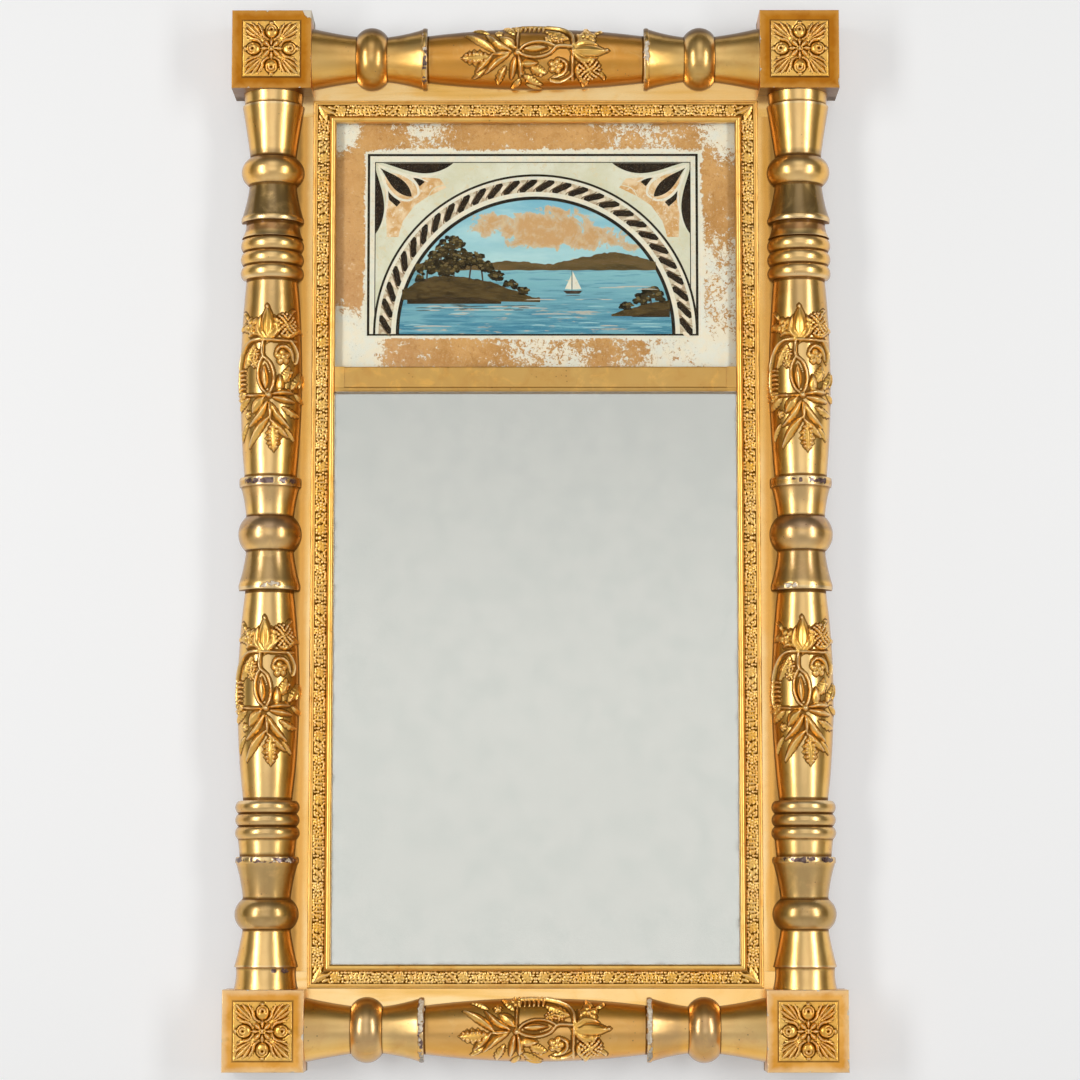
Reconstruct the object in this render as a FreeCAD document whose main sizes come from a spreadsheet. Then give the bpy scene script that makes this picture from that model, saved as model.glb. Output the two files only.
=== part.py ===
import FreeCAD, Part
import math
import os
import Sketcher

# An eglomise looking glass in a gilt split-baluster frame, in millimetres.
# +X is the viewer's right, +Z is up and the front faces -Y. The wall is the plane Y = 0.
# The origin lies on the wall at mid width, level with the axis of the bottom baluster.

SIZES = {
    # frame overall
    "overall_height": 914.4,
    "overall_width": 528.0,
    "block_side": 69.0,
    "block_rise": 30.0,
    "block_arris": 0.8,
    "board_thick": 18.0,
    "board_setback": 17.2,
    # sight moulding, measured across its width and up from the board
    "mould_width": 20.4,
    "mould_inset": 0.4,
    "mould_inset_end": 2.4,
    "sight_drop": 2.0,
    "lip_width": 5.4,
    "lip_rise": 6.8,
    "lip_round": 2.4,
    "ground_width": 11.4,
    "ground_rise": 2.0,
    "quirk_width": 1.2,
    "quirk_rise": 0.8,
    "bead_round": 1.1,
    # relief applied to the moulding's flat
    "run_inset": 0.3,
    "run_thick": 0.6,
    "run_relief": 1.1,
    "run_count_long": 14,
    "run_count_short": 7,
    "tongue_width": 2.6,
    "palmette_width": 15.0,
    # rebates behind the moulding and at the back
    "glass_cover": 6.0,
    "glass_thick": 2.4,
    "film_thick": 0.3,
    "back_step": 8.0,
    "back_depth": 6.2,
    "backboard_thick": 5.4,
    # cross rail between the painted tablet and the mirror plate
    "cross_level": 136.0,
    "cross_height": 21.8,
    "cross_rise": 6.0,
    "cross_bead": 4.2,
    "cross_bead_rise": 1.3,
    "cross_pad": 8.4,
    "cross_pad_rise": 0.9,
    "tongue_thick": 5.0,
    # upright balusters, from each end to the middle
    "foot_ring": 15.0,
    "foot_bead": 7.0,
    "bell_length": 30.0,
    "torus_length": 25.0,
    "neck_length": 3.5,
    "skirt_length": 28.0,
    "skirt_lip": 7.0,
    "cove_length": 12.9,
    "reed_length": 12.2,
    "cup_length": 32.0,
    "cup_edge": 1.6,
    "mid_torus_half": 12.8,
    "foot_radius": 27.4,
    "foot_waist": 25.6,
    "foot_bead_radius": 26.4,
    "foot_bead_round": 0.9,
    "neck_radius": 20.4,
    "fillet_radius": 21.2,
    "torus_swell": 6.2,
    "skirt_radius": 26.2,
    "skirt_round": 0.9,
    "cove_radius": 25.0,
    "cove_hollow": 1.1,
    "reed_root": 24.6,
    "reed_round": 2.9,
    "shaft_end_radius": 22.2,
    "shaft_swell": 4.4,
    "cup_radius": 25.8,
    "mid_torus_swell": 6.0,
    "turning_hollow": 0.7,
    # short level balusters
    "cone_length": 36.5,
    "short_torus_length": 25.5,
    "short_neck_length": 3.0,
    "short_cup_length": 29.0,
    "short_cup_edge": 4.0,
    "cone_radius": 27.4,
    "short_neck_radius": 19.8,
    "short_torus_swell": 6.6,
    "short_cup_radius": 27.2,
    "short_shaft_radius": 20.3,
    "short_shaft_swell": 6.4,
    # applied foliage on the swells
    "spray_length": 128.0,
    "spray_thick": 2.4,
    # rosettes
    "rosette_side": 50.0,
    "rosette_ground": 1.2,
    "rosette_relief": 1.8,
    "rosette_boss": 6.0,
    # hangers on the backs of the stiles
    "hanger_drop": 212.0,
    "strap_width": 12.0,
    "strap_thick": 1.0,
    "strap_length": 45.0,
    "ring_wire": 1.4,
    "ring_inside": 17.0,
    "ring_drop": 16.0,
    "ring_lift": 0.35,
    "pin_clear": 0.06,
    "screw_radius": 1.6,
    "screw_hole": 1.9,
    "screw_length": 12.0,
    "screw_head": 3.4,
    "screw_head_high": 1.5,
    "screw_slot": 0.8,
    # nails and glue blocks
    "nail_shank": 1.3,
    "nail_length": 13.0,
    "nail_head": 3.0,
    "nail_head_high": 0.5,
    "glue_block": 6.6,
    "glue_block_long": 30.0,
    # clearances
    "joint_gap": 0.1,
    "glass_gap": 0.8,
    "board_gap": 0.6,
    "overrun": 2.0,
}

doc = FreeCAD.newDocument("looking_glass")
os.makedirs("parts", exist_ok=True)


def fill_sheet():
    """Write the driving dimensions into the spreadsheet, one alias each."""
    sheet = doc.addObject("Spreadsheet::Sheet", "Sizes")
    for row, (alias, number) in enumerate(SIZES.items(), start=1):
        sheet.set("A%d" % row, alias)
        sheet.set("B%d" % row, str(number))
        sheet.setAlias("B%d" % row, alias)
    doc.recompute()


class Size:
    """A length that carries both its number and the sheet expression that gives it."""

    def __init__(self, value, text):
        self.value = value
        self.text = text

    @staticmethod
    def of(item):
        """Turn a plain share or zero into a Size."""
        if isinstance(item, Size):
            return item
        return Size(float(item), repr(item))

    def __add__(self, other):
        other = Size.of(other)
        return Size(self.value + other.value, "(%s + %s)" % (self.text, other.text))

    def __sub__(self, other):
        other = Size.of(other)
        return Size(self.value - other.value, "(%s - %s)" % (self.text, other.text))

    def __mul__(self, other):
        other = Size.of(other)
        return Size(self.value * other.value, "(%s * %s)" % (self.text, other.text))

    def __truediv__(self, other):
        other = Size.of(other)
        return Size(self.value / other.value, "(%s / %s)" % (self.text, other.text))

    __radd__ = __add__
    __rmul__ = __mul__

    def __neg__(self):
        return Size(-self.value, "(-1 * %s)" % self.text)


NONE = Size(0.0, "0")


def named(alias):
    """The sheet value with this alias."""
    return Size(float(SIZES[alias]), "Sizes.%s" % alias)


def bind(thing, prop, size):
    """Drive one property of an object from the sheet."""
    thing.setExpression(prop, Size.of(size).text)


def place(thing, x=0, y=0, z=0, turn=0):
    """Put an object at a sheet-driven point, turned about Y by whole quarter turns."""
    thing.Placement = FreeCAD.Placement(
        FreeCAD.Vector(0, 0, 0), FreeCAD.Rotation(FreeCAD.Vector(0, 1, 0), turn))
    for axis, size in (("x", x), ("y", y), ("z", z)):
        if isinstance(size, Size):
            bind(thing, "Placement.Base.%s" % axis, size)


def new_body(label):
    body = doc.addObject("PartDesign::Body", label)
    body.Label = label
    return body


def plane_of(body, role):
    """One of the body's own origin planes, such as XZ_Plane."""
    return [item for item in body.Origin.OriginFeatures if item.Role == role][0]


def new_sketch(body, name, role="XZ_Plane", offset=None):
    """An empty sketch on an origin plane; offset moves it along the plane's normal."""
    sketch = body.newObject("Sketcher::SketchObject", name)
    sketch.AttachmentSupport = [(plane_of(body, role), "")]
    sketch.MapMode = "FlatFace"
    if offset is not None:
        bind(sketch, "AttachmentOffset.Base.z", offset)
    return sketch


def fix_number(sketch, kind, geometry, end, size):
    """Tie one coordinate of a sketch point to the sheet, measured from the origin."""
    if not isinstance(size, Size):
        sketch.addConstraint(Sketcher.Constraint("PointOnObject", geometry, end,
                                                 -2 if kind == "DistanceX" else -1))
        return
    index = sketch.addConstraint(
        Sketcher.Constraint(kind, -1, 1, geometry, end, size.value))
    sketch.setExpression("Constraints[%d]" % index, size.text)


def arc_between(start, end, rise):
    """The arc from start to end that bows left of the way by rise, and its radius."""
    dx = Size.of(end[0]) - start[0]
    dy = Size.of(end[1]) - start[1]
    radius = ((dx * dx + dy * dy) / 4 + rise * rise) / (rise * 2)
    chord = math.hypot(dx.value, dy.value)
    side = (-dy.value / chord, dx.value / chord)
    back = rise.value - radius.value
    centre = FreeCAD.Vector(
        (Size.of(start[0]).value + Size.of(end[0]).value) / 2 + side[0] * back,
        (Size.of(start[1]).value + Size.of(end[1]).value) / 2 + side[1] * back, 0)
    angles = [math.atan2(Size.of(point[1]).value - centre.y, Size.of(point[0]).value - centre.x)
              for point in (start, end)]
    circle = Part.Circle(centre, FreeCAD.Vector(0, 0, 1), abs(radius.value))
    if rise.value > 0:
        return Part.ArcOfCircle(circle, angles[1], angles[0]), 2, 1, radius
    return Part.ArcOfCircle(circle, angles[0], angles[1]), 1, 2, -radius


def draw_loop(sketch, points):
    """Draw a closed loop. A point is (x, y) or (x, y, rise), where rise bows the stretch
    that leads to it."""
    pieces = []
    for index, point in enumerate(points):
        start = points[index - 1]
        if len(point) == 3:
            arc, first, last, radius = arc_between(start, point, point[2])
            number = sketch.addGeometry(arc, False)
            rule = sketch.addConstraint(Sketcher.Constraint("Radius", number, radius.value))
            sketch.setExpression("Constraints[%d]" % rule, radius.text)
        else:
            ends = [FreeCAD.Vector(Size.of(item[0]).value, Size.of(item[1]).value, 0)
                    for item in (start, point)]
            number = sketch.addGeometry(Part.LineSegment(*ends), False)
            first, last = 1, 2
        pieces.append((number, first, last))
    for index, point in enumerate(points):
        number, first, last = pieces[index]
        after, after_first, after_last = pieces[(index + 1) % len(points)]
        sketch.addConstraint(
            Sketcher.Constraint("Coincident", number, last, after, after_first))
        fix_number(sketch, "DistanceX", number, last, point[0])
        fix_number(sketch, "DistanceY", number, last, point[1])


def draw_box(sketch, x0, y0, x1, y1):
    draw_loop(sketch, [(x0, y0), (x1, y0), (x1, y1), (x0, y1)])


def draw_circle(sketch, x, y, radius):
    centre = FreeCAD.Vector(Size.of(x).value, Size.of(y).value, 0)
    circle = Part.Circle(centre, FreeCAD.Vector(0, 0, 1), radius.value)
    number = sketch.addGeometry(circle, False)
    fix_number(sketch, "DistanceX", number, 3, x)
    fix_number(sketch, "DistanceY", number, 3, y)
    rule = sketch.addConstraint(Sketcher.Constraint("Radius", number, radius.value))
    sketch.setExpression("Constraints[%d]" % rule, radius.text)


def pad(body, sketch, length, midplane=False, flip=False):
    feature = body.newObject("PartDesign::Pad", sketch.Name + "_pad")
    feature.Profile = sketch
    bind(feature, "Length", length)
    feature.Midplane = midplane
    feature.Reversed = flip
    sketch.Visibility = False
    body.Tip = feature
    return feature


def pocket(body, sketch, length=None, midplane=False, flip=False):
    """Cut a sketch away, to a depth or right through."""
    feature = body.newObject("PartDesign::Pocket", sketch.Name + "_cut")
    feature.Profile = sketch
    if length is None:
        feature.Type = "ThroughAll"
    else:
        bind(feature, "Length", length)
    feature.Midplane = midplane
    feature.Reversed = flip
    sketch.Visibility = False
    body.Tip = feature
    return feature


def slab(label, x0, x1, y0, y1, z0, z1):
    """A plain box between three pairs of sheet-driven planes."""
    box = doc.addObject("Part::Box", label)
    box.Label = label
    bind(box, "Length", Size.of(x1) - x0)
    bind(box, "Width", Size.of(y1) - y0)
    bind(box, "Height", Size.of(z1) - z0)
    place(box, Size.of(x0), Size.of(y0), Size.of(z0))
    return box


def join(kind, label, pieces):
    """A Part boolean or compound of several objects."""
    result = doc.addObject(kind, label)
    result.Label = label
    if kind == "Part::Compound":
        result.Links = pieces
    else:
        result.Shapes = pieces
    for piece in pieces:
        piece.Visibility = False
    return result


def cut(label, base, tool):
    result = doc.addObject("Part::Cut", label)
    result.Label = label
    result.Base = base
    result.Tool = tool
    base.Visibility = False
    tool.Visibility = False
    return result


# Places that several pieces share, all worked out from the sheet.

half_width = named("overall_width") / 2
axis_span = named("overall_height") - named("block_side")
mid_level = axis_span / 2
sight_drop = named("sight_drop")
sight_mid = mid_level - sight_drop
axis_x = half_width - named("block_side") / 2
board_front = -named("board_thick")
block_inner_x = half_width - named("block_side")
block_inner_z = named("overall_height") / 2 - named("block_side")
mould_outer_x = block_inner_x - named("mould_inset")
mould_outer_z = block_inner_z - named("mould_inset_end")
sight_x = mould_outer_x - named("mould_width")
sight_z = mould_outer_z - named("mould_width")
opening_x = sight_x + named("glass_cover")
opening_z = sight_z + named("glass_cover")
board_outer_x = half_width - named("board_setback")
board_outer_z = named("overall_height") / 2 - named("board_setback")
back_x = opening_x + named("back_step")
back_z = opening_z + named("back_step")
cross_z = mid_level + named("cross_level")
glass_front = board_front + named("joint_gap")
glass_back = glass_front + named("glass_thick")
film_back = glass_back + named("joint_gap") + named("film_thick")
ledge = -named("back_depth")
stile_middle = (back_x + board_outer_x) / 2
upright_length = block_inner_z * 2 - named("joint_gap") * 2
level_length = block_inner_x * 2 - named("joint_gap") * 2


def base_stile(label, side):
    """An upright pine board, half-lapped behind the rails and rebated along its inner edge."""
    body = new_body(label)
    outline = new_sketch(body, label + "_outline")
    draw_box(outline, opening_x * side, -board_outer_z, board_outer_x * side, board_outer_z)
    pad(body, outline, named("board_thick"))
    rebate = new_sketch(body, label + "_rebate")
    draw_box(rebate, (opening_x - named("overrun")) * side, -back_z - sight_drop,
             back_x * side, back_z - sight_drop)
    pocket(body, rebate, named("back_depth"), flip=True)
    for name, end in (("_head_lap", 1), ("_foot_lap", -1)):
        lap = new_sketch(body, label + name, offset=named("board_thick"))
        draw_box(lap, (opening_x - named("overrun")) * side,
                 (opening_z - named("joint_gap")) * end - sight_drop,
                 (board_outer_x + named("overrun")) * side, (board_outer_z + named("overrun")) * end)
        pocket(body, lap, named("board_thick") / 2)
    place(body, z=mid_level)
    return body


def base_rail(label, end):
    """A level pine board, half-lapped in front of the stiles and rebated along its inner edge."""
    body = new_body(label)
    outline = new_sketch(body, label + "_outline")
    draw_box(outline, -board_outer_x, opening_z * end - sight_drop, board_outer_x,
             board_outer_z * end)
    pad(body, outline, named("board_thick"))
    rebate = new_sketch(body, label + "_rebate")
    draw_box(rebate, -back_x, (opening_z - named("overrun")) * end - sight_drop, back_x,
             back_z * end - sight_drop)
    pocket(body, rebate, named("back_depth"), flip=True)
    for name, side in (("_left_lap", -1), ("_right_lap", 1)):
        lap = new_sketch(body, label + name)
        draw_box(lap, (opening_x - named("joint_gap")) * side,
                 (opening_z - named("overrun")) * end - sight_drop,
                 (board_outer_x + named("overrun")) * side, (board_outer_z + named("overrun")) * end)
        pocket(body, lap, named("board_thick") / 2 + named("joint_gap"), flip=True)
    place(body, z=mid_level)
    return body


def corner_block(label, side, end):
    """A square block, rebated at the back to sit over the base frame's corner."""
    body = new_body(label)
    half = named("block_side") / 2
    face = new_sketch(body, label + "_face")
    draw_box(face, -half, -half, half, half)
    pad(body, face, named("board_thick") + named("block_rise"))
    seat = new_sketch(body, label + "_seat")
    wall = named("board_setback") - named("joint_gap")
    reach = half + named("overrun")
    draw_box(seat, (half - wall) * side, (half - wall) * end, -reach * side, -reach * end)
    pocket(body, seat, named("board_thick") + named("joint_gap"), flip=True)
    doc.recompute()
    front = -(named("board_thick") + named("block_rise")).value
    arris = ["Edge%d" % number for number, edge in enumerate(body.Tip.Shape.Edges, start=1)
             if abs(edge.BoundBox.YMin - front) < 0.01 and edge.BoundBox.YLength < 0.01]
    base = body.Tip
    rounding = body.newObject("PartDesign::Fillet", label + "_arris")
    rounding.Base = (base, arris)
    bind(rounding, "Radius", named("block_arris"))
    body.Tip = rounding
    place(body, x=axis_x * side, z=mid_level + mid_level * end)
    return body


REEDS = 3


def turned(label, length, stations, middle_rise):
    """Half a turning, split along its axis. Stations run from each end towards the middle
    as (run, radius, rise), and one arc of middle_rise joins the last pair."""
    body = new_body(label)
    profile = new_sketch(body, label + "_profile")
    half = length / 2
    run = NONE
    left, right = [], []
    for step, radius, rise in stations:
        run = run + step
        left.append((run - half, radius))
        right.append((half - run, radius))
    rises = [station[2] for station in stations]
    points = [(-half, 0), left[0]]
    for index in range(1, len(left)):
        points.append(left[index] + ((rises[index],) if rises[index] else ()))
    points.append(right[-1] + (middle_rise,))
    for index in range(len(right) - 2, -1, -1):
        points.append(right[index] + ((rises[index + 1],) if rises[index + 1] else ()))
    points.append((half, 0))
    draw_loop(profile, points)
    turn = body.newObject("PartDesign::Revolution", label + "_turning")
    turn.Profile = profile
    turn.ReferenceAxis = (profile, ["H_Axis"])
    turn.Angle = 180
    profile.Visibility = False
    body.Tip = turn
    return body


def upright_stations():
    """Ring, bell, torus, skirt, cove, three reeds, swelled shaft and cup."""
    neck = named("neck_radius")
    hollow = -named("turning_hollow")
    stations = [
        (NONE, named("foot_radius"), None),
        (named("foot_ring"), named("foot_waist"), hollow),
        (NONE, named("foot_bead_radius"), None),
        (named("foot_bead"), named("foot_bead_radius"), named("foot_bead_round")),
        (named("bell_length"), neck, hollow),
        (NONE, named("fillet_radius"), None),
        (named("torus_length"), named("fillet_radius"), named("torus_swell")),
        (NONE, neck, None),
        (named("neck_length"), neck, None),
        (named("skirt_length"), named("skirt_radius"), hollow),
        (named("skirt_lip"), named("skirt_radius"), named("skirt_round")),
        (NONE, named("cove_radius"), None),
        (named("cove_length"), named("reed_root"), -named("cove_hollow")),
    ]
    for reed in range(REEDS):
        stations.append((named("reed_length"), named("reed_root"), named("reed_round")))
    stations.append((NONE, named("shaft_end_radius"), None))
    stations.append((upright_shaft(), named("shaft_end_radius"), named("shaft_swell")))
    stations.append((NONE, named("cup_radius"), None))
    stations.append((named("cup_edge"), named("cup_radius"), None))
    stations.append((named("cup_length"), neck, hollow))
    stations.append((NONE, named("fillet_radius"), None))
    return stations


def level_stations():
    """Cone, torus, cup with a thick edge, and the end of the swelled shaft."""
    neck = named("short_neck_radius")
    hollow = -named("turning_hollow")
    return [
        (NONE, named("cone_radius"), None),
        (named("cone_length"), neck, hollow),
        (NONE, named("fillet_radius"), None),
        (named("short_torus_length"), named("fillet_radius"), named("short_torus_swell")),
        (NONE, neck, None),
        (named("short_neck_length"), neck, None),
        (named("short_cup_length"), named("short_cup_radius"), hollow),
        (named("short_cup_edge"), named("short_cup_radius"), named("skirt_round")),
        (NONE, named("short_shaft_radius"), None),
    ]


def upright_foot():
    """From the end of an upright baluster to the start of its shaft."""
    run = named("reed_length") * REEDS
    for alias in ("foot_ring", "foot_bead", "bell_length", "torus_length", "neck_length",
                  "skirt_length", "skirt_lip", "cove_length"):
        run = run + named(alias)
    return run


def upright_shaft():
    """The length of one swelled shaft of an upright baluster."""
    return (upright_length / 2 - upright_foot() - named("cup_edge") - named("cup_length")
            - named("mid_torus_half"))


def level_shaft():
    """The length of the one swelled shaft of a level baluster."""
    used = NONE
    for alias in ("cone_length", "short_torus_length", "short_neck_length",
                  "short_cup_length", "short_cup_edge"):
        used = used + named(alias)
    return level_length - used * 2


def baluster(label, upright, sign):
    """A split baluster, glued by its flat back to the front of the board."""
    if upright:
        body = turned(label, upright_length, upright_stations(), named("mid_torus_swell"))
        place(body, x=axis_x * sign, y=board_front, z=mid_level, turn=90)
    else:
        body = turned(label, level_length, level_stations(), named("short_shaft_swell"))
        place(body, y=board_front, z=mid_level + mid_level * sign)
    return body


# Each leaf of an applied spray, in shares of its length and of the shell's end radius:
# root along and across, tip along and across, and how full it is for its length.
SPRAY_SHARES = [
    (0.70, 0.00, 0.10, 0.00, 0.035),
    (0.19, -0.96, 0.19, 0.96, 0.05),
    (0.20, 0.00, 0.00, 0.00, 0.22),
    (0.23, -0.22, 0.05, -0.74, 0.30),
    (0.23, 0.22, 0.05, 0.76, 0.30),
    (0.14, -0.86, 0.66, -0.88, 0.09),
    (0.14, 0.86, 0.66, 0.88, 0.09),
    (0.62, 0.00, 0.34, 0.00, 0.20),
    (0.62, -0.02, 0.36, 0.64, 0.20),
    (0.62, 0.02, 0.40, -0.64, 0.18),
    (0.58, -0.06, 0.62, 0.96, 0.15),
    (0.58, 0.06, 0.62, -0.96, 0.15),
    (0.55, 0.06, 0.88, -0.74, 0.12),
    (0.55, -0.06, 0.88, 0.74, 0.12),
    (0.56, 0.00, 1.00, 0.14, 0.15),
    (0.52, 0.00, 0.68, 0.00, 0.45),
]


def leaf_points(x0, z0, x1, z1, fullness):
    """A pointed leaf: two arcs from root to tip and back."""
    run = math.hypot((x1 - x0).value, (z1 - z0).value)
    rise = Size(run * fullness, "(sqrt(pow(%s; 2) + pow(%s; 2)) * %r)"
                % ((x1 - x0).text, (z1 - z0).text, fullness))
    return [(x0, z0, rise), (x1, z1, rise)]


def spray(label, shaft, end_radius, swell, middle_x):
    """An applied leafy spray: leaf outlines cut out of a thin shell that fits the swell."""
    shell = new_body(label + "_shell")
    profile = new_sketch(shell, label + "_shell_profile")
    inner = end_radius + named("joint_gap")
    outer = inner + named("spray_thick")
    draw_loop(profile, [(shaft / 2, inner, swell), (shaft / 2, outer),
                        (-shaft / 2, outer, -swell), (-shaft / 2, inner)])
    turn = shell.newObject("PartDesign::Revolution", label + "_shell_turning")
    turn.Profile = profile
    turn.ReferenceAxis = (profile, ["H_Axis"])
    turn.Angle = 180
    profile.Visibility = False
    shell.Tip = turn
    leaves = new_body(label + "_leaves")
    start = middle_x - named("spray_length") / 2
    for number, (u0, v0, u1, v1, fullness) in enumerate(SPRAY_SHARES):
        leaf = new_sketch(leaves, "%s_leaf_%d" % (label, number))
        draw_loop(leaf, leaf_points(start + named("spray_length") * u0, outer * v0,
                                    start + named("spray_length") * u1, outer * v1, fullness))
        pad(leaves, leaf, outer + swell + named("overrun"))
    return join("Part::MultiCommon", label, [leaves, shell])


def upright_spray(label, side, end):
    """A spray on one swell of an upright baluster; both hang with the bud uppermost."""
    middle = named("mid_torus_half") + named("cup_length") + named("cup_edge") + upright_shaft() / 2
    piece = spray(label, upright_shaft(), named("shaft_end_radius"), named("shaft_swell"), NONE)
    place(piece, x=axis_x * side, y=board_front, z=mid_level + middle * end, turn=90)
    return piece


def level_spray(label, end):
    """The spray on the one swell of a level baluster, its bud to the right."""
    piece = spray(label, level_shaft(), named("short_shaft_radius"), named("short_shaft_swell"), NONE)
    place(piece, y=board_front, z=mid_level + mid_level * end, turn=180)
    return piece


# A rosette's bud and corner leaf: name, slope across, fullness, and share of the full relief.
ROSETTE_SHARES = [("_bud", 0.0, 0.34, 1.0), ("_leaf", 0.94, 0.2, 0.8)]
BOSS_SHARE = 0.6
ROOT_SHARE = 0.5


def rosette(label, side, end):
    """A square cast plate: boss, four buds to the sides and four leaves to the corners."""
    body = new_body(label)
    half = named("rosette_side") / 2
    plate = new_sketch(body, label + "_plate")
    draw_box(plate, -half, -half, half, half)
    pad(body, plate, named("rosette_ground"))
    reach = half - named("rosette_ground")
    for name, across, fullness, depth in ROSETTE_SHARES:
        petal = new_sketch(body, label + name)
        root = named("rosette_boss") * ROOT_SHARE
        draw_loop(petal, leaf_points(root, root * across, reach, reach * across, fullness))
        single = pad(body, petal, named("rosette_ground") + named("rosette_relief") * depth)
        ring = body.newObject("PartDesign::PolarPattern", label + name + "s")
        ring.Originals = [single]
        ring.Axis = (plane_of(body, "Y_Axis"), [""])
        ring.Angle = 360
        ring.Occurrences = 4
        body.Tip = ring
    boss = new_sketch(body, label + "_boss", role="XY_Plane")
    top = named("rosette_ground") * 2 + named("rosette_relief")
    shoulder = top - named("rosette_ground")
    draw_loop(boss, [(NONE, 0), (NONE, -top), (named("rosette_boss") * BOSS_SHARE, -top),
                     (named("rosette_boss"), -shoulder), (named("rosette_boss"), 0)])
    turn = body.newObject("PartDesign::Revolution", label + "_dome")
    turn.Profile = boss
    turn.ReferenceAxis = (boss, ["V_Axis"])
    turn.Angle = 360
    boss.Visibility = False
    body.Tip = turn
    place(body, x=axis_x * side, y=board_front - named("block_rise") - named("joint_gap"),
          z=mid_level + mid_level * end)
    return body


def mitre(body, label, half_length, width):
    """Cut both ends of a length of moulding to 45 degrees, the short side inward."""
    ends = new_sketch(body, label + "_mitre")
    for side in (-1, 1):
        start = (half_length - width) * side
        out = (half_length + named("overrun")) * side
        draw_loop(ends, [(start - named("overrun") * side, -named("overrun")),
                         (out, -named("overrun")),
                         (out, width + named("overrun"))])
    return pocket(body, ends, midplane=True)


def on_side(body, spot):
    """Place a length of moulding on one side of the sight: its own Z points outward."""
    turn, x, z = {"top": (0, 0, 1), "bottom": (180, 0, -1),
                  "right": (90, 1, 0), "left": (-90, -1, 0)}[spot]
    place(body, x=sight_x * x if x else 0, y=board_front - named("joint_gap"),
          z=sight_mid + sight_z * z if z else sight_mid, turn=turn)


def moulding(label, spot):
    """A mitred length: rounded lip, flat ground for the relief, quirk and outer bead."""
    body = new_body(label)
    half = (mould_outer_z if spot in ("left", "right") else mould_outer_x) - named("joint_gap")
    profile = new_sketch(body, label + "_profile", role="YZ_Plane")
    lip = named("lip_round") - named("lip_rise")
    ground = -named("ground_rise")
    quirk = -named("quirk_rise")
    edge = named("lip_width")
    run_end = edge + named("ground_width")
    bead = run_end + named("quirk_width")
    draw_loop(profile, [
        (0, NONE), (lip, NONE), (lip, edge, named("lip_round")), (ground, edge),
        (ground, run_end), (quirk, run_end), (quirk, bead),
        (quirk, named("mould_width"), named("bead_round")), (0, named("mould_width"))])
    pad(body, profile, half * 2, midplane=True)
    mitre(body, label, half, named("mould_width"))
    on_side(body, spot)
    return body


def relief_run(label, spot):
    """Cast foliage glued along the moulding's flat: a palmette between two tongues, repeated."""
    body = new_body(label)
    upright = spot in ("left", "right")
    low = named("lip_width") + named("run_inset")
    high = named("lip_width") + named("ground_width") - named("run_inset")
    inner = sight_z if upright else sight_x
    count = named("run_count_long" if upright else "run_count_short")
    seat = named("ground_rise") + named("joint_gap")
    strip = new_sketch(body, label + "_strip", offset=seat)
    low_half = inner + low - named("joint_gap")
    high_half = inner + high - named("joint_gap")
    draw_loop(strip, [(-low_half, low), (-high_half, high), (high_half, high), (low_half, low)])
    pad(body, strip, named("run_thick"))
    pitch = inner * 2 / count
    first = pitch / 2 - inner
    level = (low + high) / 2
    margin = named("run_inset")
    motif = new_sketch(body, label + "_motif", offset=seat)
    wing = named("palmette_width") / 2
    draw_loop(motif, [(first - wing, level), (first - wing / 2, high - margin),
                      (first + wing / 2, high - margin), (first + wing, level),
                      (first, low + margin)])
    slim = named("tongue_width") / 2
    for hand in (-1, 1):
        spot_x = first + (pitch / 2 - named("tongue_width") * 2) * hand
        draw_loop(motif, [(spot_x - slim, level), (spot_x, high - margin),
                          (spot_x + slim, level), (spot_x, low + margin)])
    single = pad(body, motif, named("run_thick") + named("run_relief"))
    row = body.newObject("PartDesign::LinearPattern", label + "_row")
    row.Originals = [single]
    row.Direction = (plane_of(body, "X_Axis"), [""])
    bind(row, "Length", inner * 2 - pitch)
    bind(row, "Occurrences", count)
    body.Tip = row
    on_side(body, spot)
    return body


def cross_rail(label):
    """The bar between tablet and mirror: beaded face, end pads, and a tongue behind that
    parts the two plates of glass."""
    body = new_body(label)
    half = named("cross_height") / 2
    front = -named("cross_rise")
    tongue = named("tongue_thick") / 2
    depth = named("board_thick") - named("back_depth") - named("joint_gap")
    profile = new_sketch(body, label + "_profile", role="YZ_Plane")
    draw_loop(profile, [
        (0, -half), (front, -half), (front, named("cross_bead") - half, named("cross_bead_rise")),
        (front, half - named("block_arris")), (front + named("block_arris"), half), (0, half),
        (0, tongue), (depth, tongue), (depth, -tongue), (0, -tongue)])
    length = sight_x - named("joint_gap")
    pad(body, profile, length * 2, midplane=True)
    for name, side in (("_left_pad", -1), ("_right_pad", 1)):
        end = new_sketch(body, label + name)
        draw_box(end, (length - named("cross_pad")) * side, -half, length * side, half)
        pad(body, end, named("cross_rise") + named("cross_pad_rise"))
    place(body, y=board_front, z=cross_z)
    return body


def plate(label, low, high, near, thick):
    """A pane that fills the opening from side to side."""
    edge = opening_x - named("glass_gap")
    return slab(label, -edge, edge, near, near + thick, low, high)


def panes():
    """Tablet and mirror: each a glass plate with its film behind it."""
    parting = named("tongue_thick") / 2 + named("glass_gap") / 2
    top = sight_mid + opening_z - named("glass_gap")
    foot = sight_mid - opening_z + named("glass_gap")
    film = glass_back + named("joint_gap")
    return [
        plate("tablet_glass", cross_z + parting, top, glass_front, named("glass_thick")),
        plate("tablet_painting", cross_z + parting, top, film, named("film_thick")),
        plate("mirror_glass", foot, cross_z - parting, glass_front, named("glass_thick")),
        plate("mirror_silvering", foot, cross_z - parting, film, named("film_thick")),
    ]


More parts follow.
